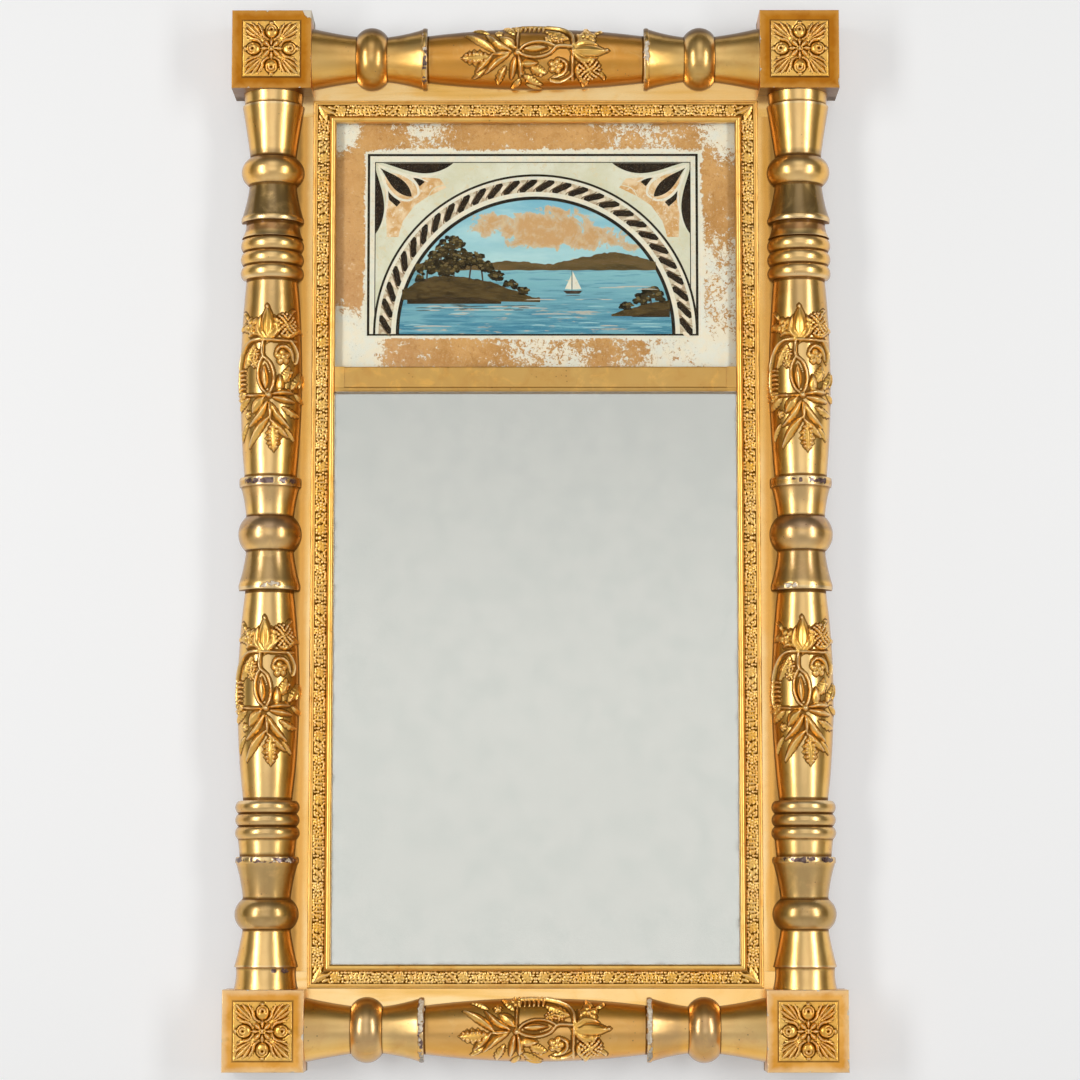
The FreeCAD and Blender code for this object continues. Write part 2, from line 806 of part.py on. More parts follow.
def glue_block(label, x, z, turn):
    """A three-cornered softwood block, rubbed into the angle of glass and board."""
    block = doc.addObject("Part::Wedge", label)
    side = named("glue_block")
    half = named("glue_block_long") / 2
    bind(block, "Xmin", NONE)
    bind(block, "Xmax", side)
    bind(block, "X2min", NONE)
    bind(block, "X2max", NONE)
    bind(block, "Ymin", NONE)
    bind(block, "Ymax", side)
    for low, high in (("Zmin", "Zmax"), ("Z2min", "Z2max")):
        bind(block, low, -half)
        bind(block, high, half)
    place(block, x=x, y=film_back + named("joint_gap"), z=z, turn=turn)
    return block


# Places of the glue blocks, as shares of each pane's height and of the opening's half width.
TABLET_SIDE_SHARES = [0.22, 0.78]
TABLET_END_SHARES = [-0.5, 0.5]
MIRROR_SIDE_SHARES = [0.15, 0.5, 0.85]
MIRROR_END_SHARES = [-0.5, 0.5]


def glazing(label, low, high, side_shares, end_shares, end_z, turn):
    """The blocks that hold one pane into its rebate."""
    edge = opening_x - named("joint_gap")
    blocks = []
    for share in side_shares:
        level = low + (high - low) * share
        blocks.append(glue_block("%s_%d" % (label, len(blocks)), -edge, level, 0))
        blocks.append(glue_block("%s_%d" % (label, len(blocks)), edge, level, 180))
    for share in end_shares:
        blocks.append(glue_block("%s_%d" % (label, len(blocks)), opening_x * share, end_z, turn))
    return join("Part::Compound", label, blocks)


def glazing_sets():
    top = sight_mid + opening_z - named("joint_gap")
    foot = sight_mid - opening_z + named("joint_gap")
    return [
        glazing("tablet_glazing_blocks", cross_z, top, TABLET_SIDE_SHARES, TABLET_END_SHARES,
                top, 90),
        glazing("mirror_glazing_blocks", foot, cross_z, MIRROR_SIDE_SHARES, MIRROR_END_SHARES,
                foot, -90),
    ]


BACKBOARDS = ["backboard_lower", "backboard_middle", "backboard_upper"]


def backboard_levels():
    """The joints between the boards: three behind the mirror and one behind the tablet."""
    foot = sight_mid - back_z + named("board_gap")
    step = (cross_z - foot) / len(BACKBOARDS)
    levels = [foot, foot + step, foot + step * 2, cross_z]
    levels.append(sight_mid + back_z)
    return levels


def backboards():
    """Thin pine boards laid level in the back rebate."""
    levels = backboard_levels()
    edge = back_x - named("board_gap")
    near = ledge + named("joint_gap")
    return [slab(label, -edge, edge, near, near + named("backboard_thick"),
                 levels[index], levels[index + 1] - named("board_gap"))
            for index, label in enumerate(BACKBOARDS + ["backboard_tablet"])]


NAIL_HEAD_SHARE = 0.7


def cut_nail(label, x, z):
    """A small cut nail: flat oblong head and square shank."""
    seat = ledge + named("joint_gap") + named("backboard_thick")
    head = named("nail_head") / 2
    shank = named("nail_shank") / 2
    cap = slab(label + "_cap", x - head, x + head, seat, seat + named("nail_head_high"),
               z - head * NAIL_HEAD_SHARE, z + head * NAIL_HEAD_SHARE)
    stem = slab(label + "_stem", x - shank, x + shank, seat - named("nail_length"), seat,
                z - shank, z + shank)
    return join("Part::MultiFuse", label, [cap, stem])


NAIL_SHARES = [0.16, 0.84]
NAIL_END_SHARES = [-0.55, 0.0, 0.55]


def backboard_nails(label):
    levels = backboard_levels()
    edge = (opening_x + back_x) / 2
    nails = []
    for index in range(len(levels) - 1):
        for share in NAIL_SHARES:
            level = levels[index] + (levels[index + 1] - levels[index]) * share
            for side in (-1, 1):
                nails.append(cut_nail("%s_%d" % (label, len(nails)), edge * side, level))
    rim = (opening_z + back_z) / 2
    for share in NAIL_END_SHARES:
        for end in (-1, 1):
            nails.append(cut_nail("%s_%d" % (label, len(nails)), opening_x * share,
                                  sight_mid + rim * end))
    return join("Part::Compound", label, nails)


ring_y = named("strap_thick") + named("ring_wire") + named("ring_lift")
hanger_z = mid_level + named("overall_height") / 2 - named("hanger_drop")


ROUND_END_SHARE = 0.8


def hanger_strap(label, side):
    """A brass strap with a rolled eye for the ring and two screw holes."""
    body = new_body(label)
    half = named("strap_width") / 2
    blank = new_sketch(body, label + "_blank")
    foot = half - named("strap_length")
    draw_loop(blank, [(-half, 0), (-half, foot), (half, foot, -half * ROUND_END_SHARE), (half, 0)])
    pad(body, blank, named("strap_thick"), flip=True)
    roll = new_sketch(body, label + "_roll", role="YZ_Plane")
    draw_circle(roll, ring_y, 0, named("ring_wire") + named("pin_clear") + named("strap_thick"))
    pad(body, roll, named("strap_width"), midplane=True)
    eye = new_sketch(body, label + "_eye", role="YZ_Plane")
    draw_circle(eye, ring_y, 0, named("ring_wire") + named("pin_clear"))
    pocket(body, eye, midplane=True)
    holes = new_sketch(body, label + "_holes")
    for level in screw_levels():
        draw_circle(holes, 0, level, named("screw_hole"))
    pocket(body, holes, midplane=True)
    place(body, x=stile_middle * side, y=named("joint_gap"), z=hanger_z)
    return body


def screw_levels():
    """Heights of the two screws below the ring's pin."""
    first = -(named("ring_drop") + named("ring_wire") + named("screw_head") * 2)
    last = named("strap_width") / 2 - named("strap_length")
    return [first, last]


def lay(thing, x, y, z, turn):
    """Place a round primitive turned about X."""
    thing.Placement = FreeCAD.Placement(
        FreeCAD.Vector(0, 0, 0), FreeCAD.Rotation(FreeCAD.Vector(1, 0, 0), turn))
    for axis, size in (("x", x), ("y", y), ("z", z)):
        bind(thing, "Placement.Base.%s" % axis, size)


def rod(label, radius, length):
    piece = doc.addObject("Part::Cylinder", label)
    bind(piece, "Radius", radius)
    bind(piece, "Height", length)
    return piece


def hanger_ring(label, side):
    """A D-ring: pin through the strap's eye, two legs and a half-round bow, hanging down."""
    centre = stile_middle * side
    wire = named("ring_wire")
    reach = named("ring_inside") / 2 + wire
    level_y = ring_y + named("joint_gap")
    leg_long = named("ring_drop") - reach
    pin = rod(label + "_pin", wire, reach * 2)
    place(pin, x=centre - reach, y=level_y, z=hanger_z, turn=90)
    pieces = [pin]
    for number, hand in enumerate((-1, 1)):
        leg = rod("%s_leg_%d" % (label, number), wire, leg_long)
        place(leg, x=centre + reach * hand, y=level_y, z=hanger_z - leg_long)
        knee = doc.addObject("Part::Sphere", "%s_knee_%d" % (label, number))
        bind(knee, "Radius", wire)
        place(knee, x=centre + reach * hand, y=level_y, z=hanger_z)
        pieces += [leg, knee]
    bow = doc.addObject("Part::Torus", label + "_bow")
    bind(bow, "Radius1", reach)
    bind(bow, "Radius2", wire)
    bow.Angle3 = 180
    lay(bow, centre, level_y, hanger_z - leg_long, -90)
    pieces.append(bow)
    return join("Part::MultiFuse", label, pieces)


def screw(label, x, z):
    """A slotted round-head wood screw through the strap into the stile."""
    seat = named("joint_gap") * 2 + named("strap_thick")
    shank = rod(label + "_shank", named("screw_radius"), named("screw_length"))
    lay(shank, x, seat + named("screw_head_high") / 2, z, 90)
    head = doc.addObject("Part::Cone", label + "_head")
    bind(head, "Radius1", named("screw_head"))
    bind(head, "Radius2", named("screw_head") - named("screw_head_high"))
    bind(head, "Height", named("screw_head_high"))
    lay(head, x, seat, z, -90)
    whole = join("Part::MultiFuse", label + "_blank", [shank, head])
    half = named("screw_slot") / 2
    slot = slab(label + "_slot", x - named("screw_head"), x + named("screw_head"),
                seat + named("screw_head_high") - named("screw_slot"),
                seat + named("screw_head_high") + named("overrun"), z - half, z + half)
    return cut(label, whole, slot)


def hanger_screws(label):
    screws = []
    for side in (-1, 1):
        for level in screw_levels():
            screws.append(screw("%s_%d" % (label, len(screws)), stile_middle * side,
                                hanger_z + level))
    return join("Part::Compound", label, screws)


SIDES = {"left": -1, "right": 1}
ENDS = {"top": 1, "bottom": -1}


def build():
    """Make every sub-part and return the objects to export."""
    nodes = []
    for name, side in SIDES.items():
        nodes.append(base_stile("stile_" + name, side))
        nodes.append(baluster("baluster_" + name, True, side))
        nodes.append(upright_spray("applique_%s_upper" % name, side, 1))
        nodes.append(upright_spray("applique_%s_lower" % name, side, -1))
        nodes.append(hanger_strap("hanger_strap_" + name, side))
        nodes.append(hanger_ring("hanger_ring_" + name, side))
    for name, end in ENDS.items():
        nodes.append(base_rail("rail_" + name, end))
        nodes.append(baluster("baluster_" + name, False, end))
        nodes.append(level_spray("applique_" + name, end))
        for hand, side in SIDES.items():
            nodes.append(corner_block("corner_block_%s_%s" % (name, hand), side, end))
            nodes.append(rosette("rosette_%s_%s" % (name, hand), side, end))
    for spot in ("top", "bottom", "left", "right"):
        nodes.append(moulding("moulding_" + spot, spot))
        nodes.append(relief_run("relief_run_" + spot, spot))
    nodes.append(cross_rail("cross_rail"))
    nodes += panes()
    nodes += glazing_sets()
    nodes += backboards()
    nodes.append(backboard_nails("backboard_nails"))
    nodes.append(hanger_screws("hanger_screws"))
    doc.recompute()
    return nodes


def check_and_export(nodes):
    for thing in doc.Objects:
        if "Invalid" in thing.State or "Error" in thing.State:
            raise RuntimeError("%s did not recompute" % thing.Label)
    for node in nodes:
        if node.Shape.isNull() or not node.Shape.isValid():
            raise RuntimeError("%s has no valid shape" % node.Label)
        node.Shape.exportStep("parts/%s.step" % node.Label)
    print("%d sub-parts written" % len(nodes))


fill_sheet()
check_and_export(build())
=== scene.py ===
"""Looks for a gilt split-baluster looking glass with a reverse-painted tablet.

The frame stands as it hangs: +X is the viewer's right, the wall is Y = 0 and the front faces -Y.
Lengths in the tables are millimetres, and MM turns them into metres.
"""

import math

import bmesh
import bpy
import numpy as np
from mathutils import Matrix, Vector, geometry


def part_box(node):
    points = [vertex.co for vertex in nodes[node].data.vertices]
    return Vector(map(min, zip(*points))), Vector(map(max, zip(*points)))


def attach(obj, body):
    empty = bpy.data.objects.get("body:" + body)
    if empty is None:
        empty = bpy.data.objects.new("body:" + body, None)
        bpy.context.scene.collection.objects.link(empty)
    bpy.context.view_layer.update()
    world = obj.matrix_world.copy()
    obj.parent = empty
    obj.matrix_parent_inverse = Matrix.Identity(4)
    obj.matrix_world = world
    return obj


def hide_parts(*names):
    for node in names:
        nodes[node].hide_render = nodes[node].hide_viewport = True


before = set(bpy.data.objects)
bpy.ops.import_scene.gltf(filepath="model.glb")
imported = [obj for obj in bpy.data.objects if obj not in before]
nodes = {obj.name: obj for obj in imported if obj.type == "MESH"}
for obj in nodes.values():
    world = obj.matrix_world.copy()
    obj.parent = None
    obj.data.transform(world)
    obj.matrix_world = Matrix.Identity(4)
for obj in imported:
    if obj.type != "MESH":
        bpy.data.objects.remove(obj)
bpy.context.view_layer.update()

MM = 0.001
SIDES = {"left": -1, "right": 1}
ENDS = {"bottom": -1, "top": 1}


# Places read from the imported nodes, in millimetres


def box_mm(node):
    low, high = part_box(node)
    return [v / MM for v in low], [v / MM for v in high]


def middle_of(node, axis):
    low, high = box_mm(node)
    return (low[axis] + high[axis]) / 2


block_low, block_high = box_mm("corner_block_top_right")
AXIS_X, TOP_Z = (middle_of("corner_block_top_right", axis) for axis in (0, 2))
BASE_Z = middle_of("corner_block_bottom_right", 2)
MID_Z = (TOP_Z + BASE_Z) / 2
BLOCK_HALF = (block_high[0] - block_low[0]) / 2
BLOCK_FRONT = block_low[1]
BOARD = box_mm("stile_left")[0][1]
GAP = 0.1


# Numbers


def hashed(*whole, seed=0):
    """A repeatable number from 0 to 1 for each whole-number place."""
    total = seed * 78.233 + 11.7
    for index, value in enumerate(whole):
        total = total + value * (12.9898 + 54.321 * index)
    wave = np.sin(total) * 43758.5453
    return wave - np.floor(wave)


def smooth_noise(x, y, seed=0):
    """Smooth noise from 0 to 1 over a plane."""
    xi, yi = np.floor(x), np.floor(y)
    fx, fy = x - xi, y - yi
    fx, fy = fx * fx * (3 - 2 * fx), fy * fy * (3 - 2 * fy)
    low = hashed(xi, yi, seed=seed) * (1 - fx) + hashed(xi + 1, yi, seed=seed) * fx
    high = hashed(xi, yi + 1, seed=seed) * (1 - fx) + hashed(xi + 1, yi + 1, seed=seed) * fx
    return low * (1 - fy) + high * fy


def layered(x, y, seed=0, octaves=3):
    total, weight = 0, 0
    for octave in range(octaves):
        share = 0.5**octave
        total = total + smooth_noise(x * 2**octave, y * 2**octave, seed + octave) * share
        weight += share
    return total / weight


def step_between(low, high, value):
    t = np.clip((value - low) / (high - low), 0, 1)
    return t * t * (3 - 2 * t)


def softened(grid, times=1):
    for _ in range(times):
        wide = np.pad(grid, 1, mode="edge")
        rows = (wide[:-2] + 2 * wide[1:-1] + wide[2:]) / 4
        grid = (rows[:, :-2] + 2 * rows[:, 1:-1] + rows[:, 2:]) / 4
    return grid


def from_zero_to_one(values):
    return np.clip(values, 0, 1)


# Meshes


def new_piece(name, verts, faces, materials, node, sharp, marks=None, slots=None):
    """A closed piece in the row's frame from points in millimetres, with its faces turned outwards."""
    mesh = bpy.data.meshes.new(name)
    mesh.from_pydata((np.asarray(verts, float) * MM).tolist(), [], faces)
    mesh.update()
    for key, values in (marks or {}).items():
        mark = mesh.attributes.new(key, "FLOAT", "POINT")
        mark.data.foreach_set("value", np.ravel(values).astype(np.float32))
    smooth(mesh, sharp)
    for material in materials:
        mesh.materials.append(material)
    if slots:
        mesh.polygons.foreach_set("material_index", slots)
    piece = bpy.data.objects.new(name, mesh)
    bpy.context.scene.collection.objects.link(piece)
    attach(piece, "frame")
    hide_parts(node)
    work = bmesh.new()
    work.from_mesh(mesh)
    bmesh.ops.recalc_face_normals(work, faces=work.faces)
    work.to_mesh(mesh)
    work.free()


def smooth(mesh, sharp=30):
    mesh.polygons.foreach_set("use_smooth", [True] * len(mesh.polygons))
    mesh.set_sharp_from_angle(angle=math.radians(sharp))


def sheet_faces(used):
    """Number the used grid points, and give the faces between them."""
    corners = used[:-1, :-1] & used[1:, :-1] & used[1:, 1:] & used[:-1, 1:]
    needed = np.zeros(used.shape, bool)
    for a, b in ((0, 0), (1, 0), (1, 1), (0, 1)):
        needed[a : used.shape[0] - 1 + a, b : used.shape[1] - 1 + b] |= corners
    index = np.full(used.shape, -1)
    index[needed] = np.arange(needed.sum())
    i, j = np.nonzero(corners)
    quads = np.stack([index[i, j], index[i + 1, j], index[i + 1, j + 1], index[i, j + 1]], 1)
    return needed, index, quads


def closed_sheet(top, under, quads):
    """Close a sheet with a copy of itself underneath and a wall round each edge."""
    count = len(top)
    edges = {tuple(edge) for a in range(4) for edge in quads[:, [a, (a + 1) % 4]].tolist()}
    walls = [(b, a, a + count, b + count) for a, b in sorted(edges) if (b, a) not in edges]
    faces = quads.tolist() + (quads[:, ::-1] + count).tolist() + walls
    return np.vstack([top, under]), faces


# Node trees


class Value:
    """What a node gives. It takes plain arithmetic."""

    def __init__(self, tree, socket):
        self.tree, self.socket = tree, socket

    def __add__(self, other):
        return self.tree.math("ADD", self, other)

    def __sub__(self, other):
        return self.tree.math("SUBTRACT", self, other)

    def __rsub__(self, other):
        return self.tree.math("SUBTRACT", other, self)

    def __mul__(self, other):
        return self.tree.math("MULTIPLY", self, other)

    def __abs__(self):
        return self.tree.math("ABSOLUTE", self)


class Nodes:
    """The node tree of a material or of the world, built up a step at a time."""

    def __init__(self, owner, output, coordinates):
        owner.use_nodes = True
        self.tree = owner.node_tree
        self.tree.nodes.clear()
        self.out = self.tree.nodes.new(output)
        self.where = self.put("TexCoord", output=coordinates)
        self.x, self.y, self.z = (self.put("SeparateXYZ", {0: self.where}, axis) for axis in range(3))

    def put(self, kind, inputs=(), output=0, **settings):
        """Add a node, fill its inputs by name or number, and give one of its outputs."""
        made = self.tree.nodes.new("ShaderNode" + kind)
        for key, value in settings.items():
            setattr(made, key, value)
        for key, value in dict(inputs).items():
            socket = made.inputs[key]
            if isinstance(value, Value):
                self.tree.links.new(value.socket, socket)
            else:
                socket.default_value = (*value, 1) if socket.type == "RGBA" else value
        return Value(self, made.outputs[output])

    def show(self, shader):
        self.tree.links.new(shader.socket, self.out.inputs[0])

    def math(self, operation, a, b=0.0):
        return self.put("Math", {0: a, 1: b}, operation=operation)

    def most(self, a, b):
        return self.math("MAXIMUM", a, b)

    def least(self, a, b):
        return self.math("MINIMUM", a, b)

    def over(self, low, high, value, start=0.0, end=1.0, soft=True):
        """From start at low to end at high, which may be the smaller."""
        if high < low:
            low, high, start, end = high, low, end, start
        return self.put("MapRange", {0: value, 1: low, 2: high, 3: start, 4: end},
                        interpolation_type="SMOOTHSTEP" if soft else "LINEAR")


class Paint(Nodes):
    """A material whose colour, metalness and roughness are laid on coat by coat."""

    def __init__(self, name):
        self.material = bpy.data.materials.new(name)
        super().__init__(self.material, "ShaderNodeOutputMaterial", "Object")
        self.color, self.metal, self.rough = None, 0.0, 0.5

    def noise(self, scale, detail=3, rough=0.55, twist=0.0, at=None):
        return self.put("TexNoise", {"Vector": at or self.where, "Scale": scale, "Detail": detail,
                                     "Roughness": rough, "Distortion": twist})

    def streaks(self, along, slow, fast, detail=4, rough=0.6, twist=0.0):
        """Noise drawn out along one axis: its scale along that axis, and across it."""
        scale = [slow if axis == along else fast for axis in "xyz"]
        at = self.put("Mapping", {"Vector": self.where, "Scale": scale})
        return self.noise(1, detail, rough, twist, at)

    def year_rings(self, along, slow):
        return self.math("PINGPONG", self.streaks(along, slow, 90, twist=0.5) * 9.0, 1.0)

    def cells(self, scale):
        return self.put("TexVoronoi", {"Vector": self.where, "Scale": scale}, "Distance")

    def mark(self, name):
        return self.put("Attribute", output="Fac", attribute_name=name)

    def ray(self, kind):
        return self.put("LightPath", output=f"Is {kind} Ray")

    def mix(self, share, a, b):
        return self.put("Mix", {0: share, 6: a, 7: b}, 2, data_type="RGBA")

    def blend(self, share, a, b):
        return self.put("Mix", {0: share, 2: a, 3: b}, data_type="FLOAT")

    def either(self, share, a, b):
        return self.put("MixShader", {0: share, 1: a, 2: b})

    def bump(self, height, distance, strength):
        return self.put("Bump", {"Strength": strength, "Distance": distance, "Height": height})

    def cover(self, share, color=None, metal=None, rough=None):
        """Lay a coat over what is there, as far as share says."""
        if color is not None:
            self.color = self.mix(share, self.color, color)
        if metal is not None:
            self.metal = self.blend(share, self.metal, metal)
        if rough is not None:
            self.rough = self.blend(share, self.rough, rough)

    def finish(self, **sockets):
        """Join the coats in one shader."""
        inputs = {"Base Color": self.color, "Metallic": self.metal, "Roughness": self.rough}
        inputs.update({key.replace("_", " "): value for key, value in sockets.items()})
        self.show(self.put("BsdfPrincipled", inputs))
        return self.material


# Gold, wood and metal


LEAF_BRIGHT = (1.0, 0.60, 0.14)
LEAF_MID = (0.96, 0.47, 0.04)
LEAF_DEEP = (0.78, 0.30, 0.008)
BOLE = (0.26, 0.085, 0.03)
OLIVE = (0.17, 0.095, 0.015)
TARNISH = (0.27, 0.145, 0.04)
REDDISH = (0.34, 0.12, 0.014)
PURPLE = (0.20, 0.11, 0.10)
GESSO = (0.84, 0.75, 0.60)
GRIME_AND_SHADE = (0.14, 0.052, 0.003)
PAINTED_HIGHLIGHT = (1.0, 0.75, 0.40)
SWELL_TONES = {"top": (0.84, 0.34, 0.016), "bottom": (0.84, 0.36, 0.02)}
COAT = 0.7
BOARD_COAT = 0.5
OVER_GOLD = {"Coat_IOR": 1.6, "Coat_Roughness": 0.15}
GOLD_GRAIN = (0.00015, 0.5)


def gilding(name, rough=(0.26, 0.36), deep=0.5, bands=(), along="z", carved=False, turned=False,
            pale=0.45, shade=(0.40, 0.72, 0.88, (0.22, 0.10, 0.012)), shade_and_grime=0.85):
    """Gold leaf over red bole and gesso, with toning, wear, grime, painted shade and painted highlights.

    Each band is (middle, half width, softness, amount, colour) along the turning's axis. The shade is
    (start, end, amount, colour) from the lit side of a turning, at -1, to its other side, at 1."""
    p = Paint(name)
    patch, fine = p.noise(62, 4, 0.62, 0.4), p.noise(420, 4, 0.62)
    uneven = patch - 0.5
    p.color = p.mix(p.over(0.36, 0.66, p.noise(11, 3, 0.6)) * deep, LEAF_BRIGHT, LEAF_MID)
    p.cover(p.over(0.46, 0.74, patch) * 0.45, LEAF_DEEP)
    if turned:
        p.cover(p.over(0.5, 0.72, p.streaks(along, 7, 150, 3, 0.6, 0.3)) * 0.3, LEAF_DEEP)
        # painted highlight: the front of a turning, which faces the viewer, is made paler
        p.cover(p.over(0.55, 0.10, abs(p.mark("shaded"))) * pale, PAINTED_HIGHLIGHT)
    p.rough = p.blend(patch, *rough)
    coat = COAT
    height = fine * 0.15 + p.noise(120, 3, 0.5) * 0.8
    worn = p.over(0.635, 0.70, fine * 0.5 + p.noise(170, 4, 0.7, 0.8) * 0.5) * 0.25
    p.cover(worn, BOLE)
    p.metal = p.blend(worn * 0.6, 1.0, 0.25)
    place = {"x": p.x, "z": p.z}[along]
    for middle, half, soft, amount, tint in bands:
        away = abs(place - middle * MM) + uneven * (soft * 1.2 * MM)
        share = p.over((half + soft) * MM, (half - soft * 0.5) * MM, away) * amount
        p.cover(share * p.over(0.15, 0.5, p.noise(48, 4, 0.65, 0.6)), tint, 0.8)
    if carved or turned:
        hollow = p.mark("hollow")
        # painted shade and grime in the hollows: hollow places are darkened and lose their coat
        deepness = p.over(0.46, 0.10, hollow + (fine - 0.5) * 0.12) * shade_and_grime
        p.cover(deepness, GRIME_AND_SHADE, rough=0.6)
        coat = p.blend(deepness, COAT, 0.0)
        # painted highlight: crests of the relief are made paler
        p.cover(p.over(0.60, 0.95, hollow) * 0.6, PAINTED_HIGHLIGHT)
    if carved:
        film = p.mark("film")
        # grime and painted shade in the film's ring round the foot of each cast shape
        p.cover(p.over(0.0, 0.9, film) * p.over(1.0, 0.98, film) * 0.45, (0.30, 0.13, 0.02))
    if turned:
        # painted shade along both edges, where the half turning meets its board
        p.cover(p.over(0.80, 0.97, p.mark("edge") + uneven * 0.06) * 0.85, GRIME_AND_SHADE)
        start, end, amount, tint = shade
        shaded = p.mark("shaded") + uneven * 0.12
        dark = p.over(start, end, shaded)
        p.cover(dark * amount, tint)
        coat = p.blend(dark, coat, 0.0)
        # painted shade near the edge of the lit side as well
        p.cover(p.over(-0.55, -0.95, shaded) * 0.55, (0.34, 0.15, 0.03))
        crack, lost, grain = p.mark("crack"), p.mark("bare"), p.over(0.4, 0.6, fine)
        bare = p.over(0.2, 0.5, lost)
        p.cover(p.over(0.15, 0.5, crack), p.mix(grain, (0.09, 0.04, 0.03), (0.22, 0.13, 0.11)))
        p.cover(p.over(0.02, 0.2, lost) * p.over(0.9, 0.3, lost) * 0.6, BOLE)
        p.cover(bare, p.mix(grain, GESSO, (0.66, 0.52, 0.36)), rough=0.8)
        p.cover(p.most(bare, crack * 0.7), metal=0.0)
        height = height + p.streaks(along, 1500, 40, 2, 0.5) * 0.12
    p.cover(p.over(0.17, 0.11, p.cells(230)) * p.over(0.52, 0.64, patch) * 0.6, GRIME_AND_SHADE, 0.3)
    return p.finish(Normal=p.bump(height, *GOLD_GRAIN), Coat_Weight=coat, **OVER_GOLD)


def pine(name, dark, hue):
    """Old bare pine with its grain level, dust and water stains."""
    p = Paint(name)
    bands, fibre = p.year_rings("x", 5), p.streaks("x", 24, 700, 3, 0.7)
    pale, deep, stained = (tuple(min(1, c * share) for c in hue) for share in (1.25, 0.5, 0.32))
    p.color = p.mix(p.over(0.15, 0.95, bands), pale, hue)
    p.cover(p.over(0.7, 1.0, bands) * 0.6, deep)
    p.cover(p.over(0.45, 0.75, fibre) * 0.45, deep)
    p.cover(p.over(0.5, 0.72, p.noise(14, 4, 0.62, 0.7)) * dark, stained)
    dust = p.over(0.45, 0.7, p.noise(38, 5, 0.7))
    p.cover(dust * 0.25, (0.34, 0.29, 0.23))
    p.rough = p.blend(dust, 0.62, 0.9)
    return p.finish(Normal=p.bump(fibre * 0.7 + bands * 0.3, 0.0004, 0.7), Specular_IOR_Level=0.3)


def gilded_board(name, along):
    """A board gilded on its face in long soft streaks, ochre at its edges and bare pine behind; on a stile,
    painted shadow darkens it beside the turning.
    """
    p = Paint(name)
    patch, fine = p.noise(55, 4, 0.62, 0.5), p.noise(480, 4, 0.62)
    streak = p.streaks(along, 6, 60, 3, 0.6, 0.4)
    p.color = p.mix(p.over(0.38, 0.62, p.noise(7, 3, 0.6)), (1.0, 0.71, 0.33), (0.98, 0.60, 0.20))
    p.cover(p.over(0.47, 0.66, streak) * 0.7, (0.90, 0.49, 0.09))
    p.cover(p.over(0.60, 0.74, streak) * 0.5, (0.66, 0.37, 0.045))
    p.cover(p.over(0.5, 0.75, patch) * 0.25, LEAF_MID)
    worn = p.over(0.63, 0.70, fine * 0.5 + p.noise(150, 4, 0.7, 0.8) * 0.5)
    p.cover(worn * 0.4, BOLE)
    p.metal, p.rough = p.blend(worn * 0.3, 0.94, 0.25), p.blend(patch, 0.15, 0.22)
    if along == "z":
        # painted shadow: the stile darkens towards the turning beside it, most of all right at its edge
        from_turning = (AXIS_X - 24) * MM - abs(p.x) + (patch - 0.5) * 0.004
        p.cover(p.over(0.011, 0.004, from_turning) * 0.85, (0.72, 0.33, 0.035))
        p.cover(p.over(0.003, -0.001, from_turning) * 0.8, (0.30, 0.14, 0.012))
    ochre = p.mix(p.over(0.4, 0.65, p.noise(130, 4, 0.7)), (0.46, 0.27, 0.09), (0.30, 0.15, 0.05))
    p.cover(p.over((BOARD + 0.6) * MM, (BOARD + 1.4) * MM, p.y + (fine - 0.5) * 0.001), ochre, 0.0, 0.6)
    bands = p.year_rings(along, 6)
    wood = p.mix(p.over(0.15, 0.95, bands), (0.40, 0.25, 0.13), (0.27, 0.155, 0.075))
    wood = p.mix(p.over(0.5, 0.7, p.noise(16, 4, 0.65)) * 0.6, wood, (0.12, 0.075, 0.04))
    back = p.over(-0.0078, -0.0062, p.y + (fine - 0.5) * 0.003)
    p.cover(back, wood, rough=0.75)
    height = p.blend(back, fine * 0.15 + p.noise(100, 3, 0.5), bands * 2.0)
    return p.finish(Normal=p.bump(height, *GOLD_GRAIN), Coat_Weight=BOARD_COAT, **OVER_GOLD)


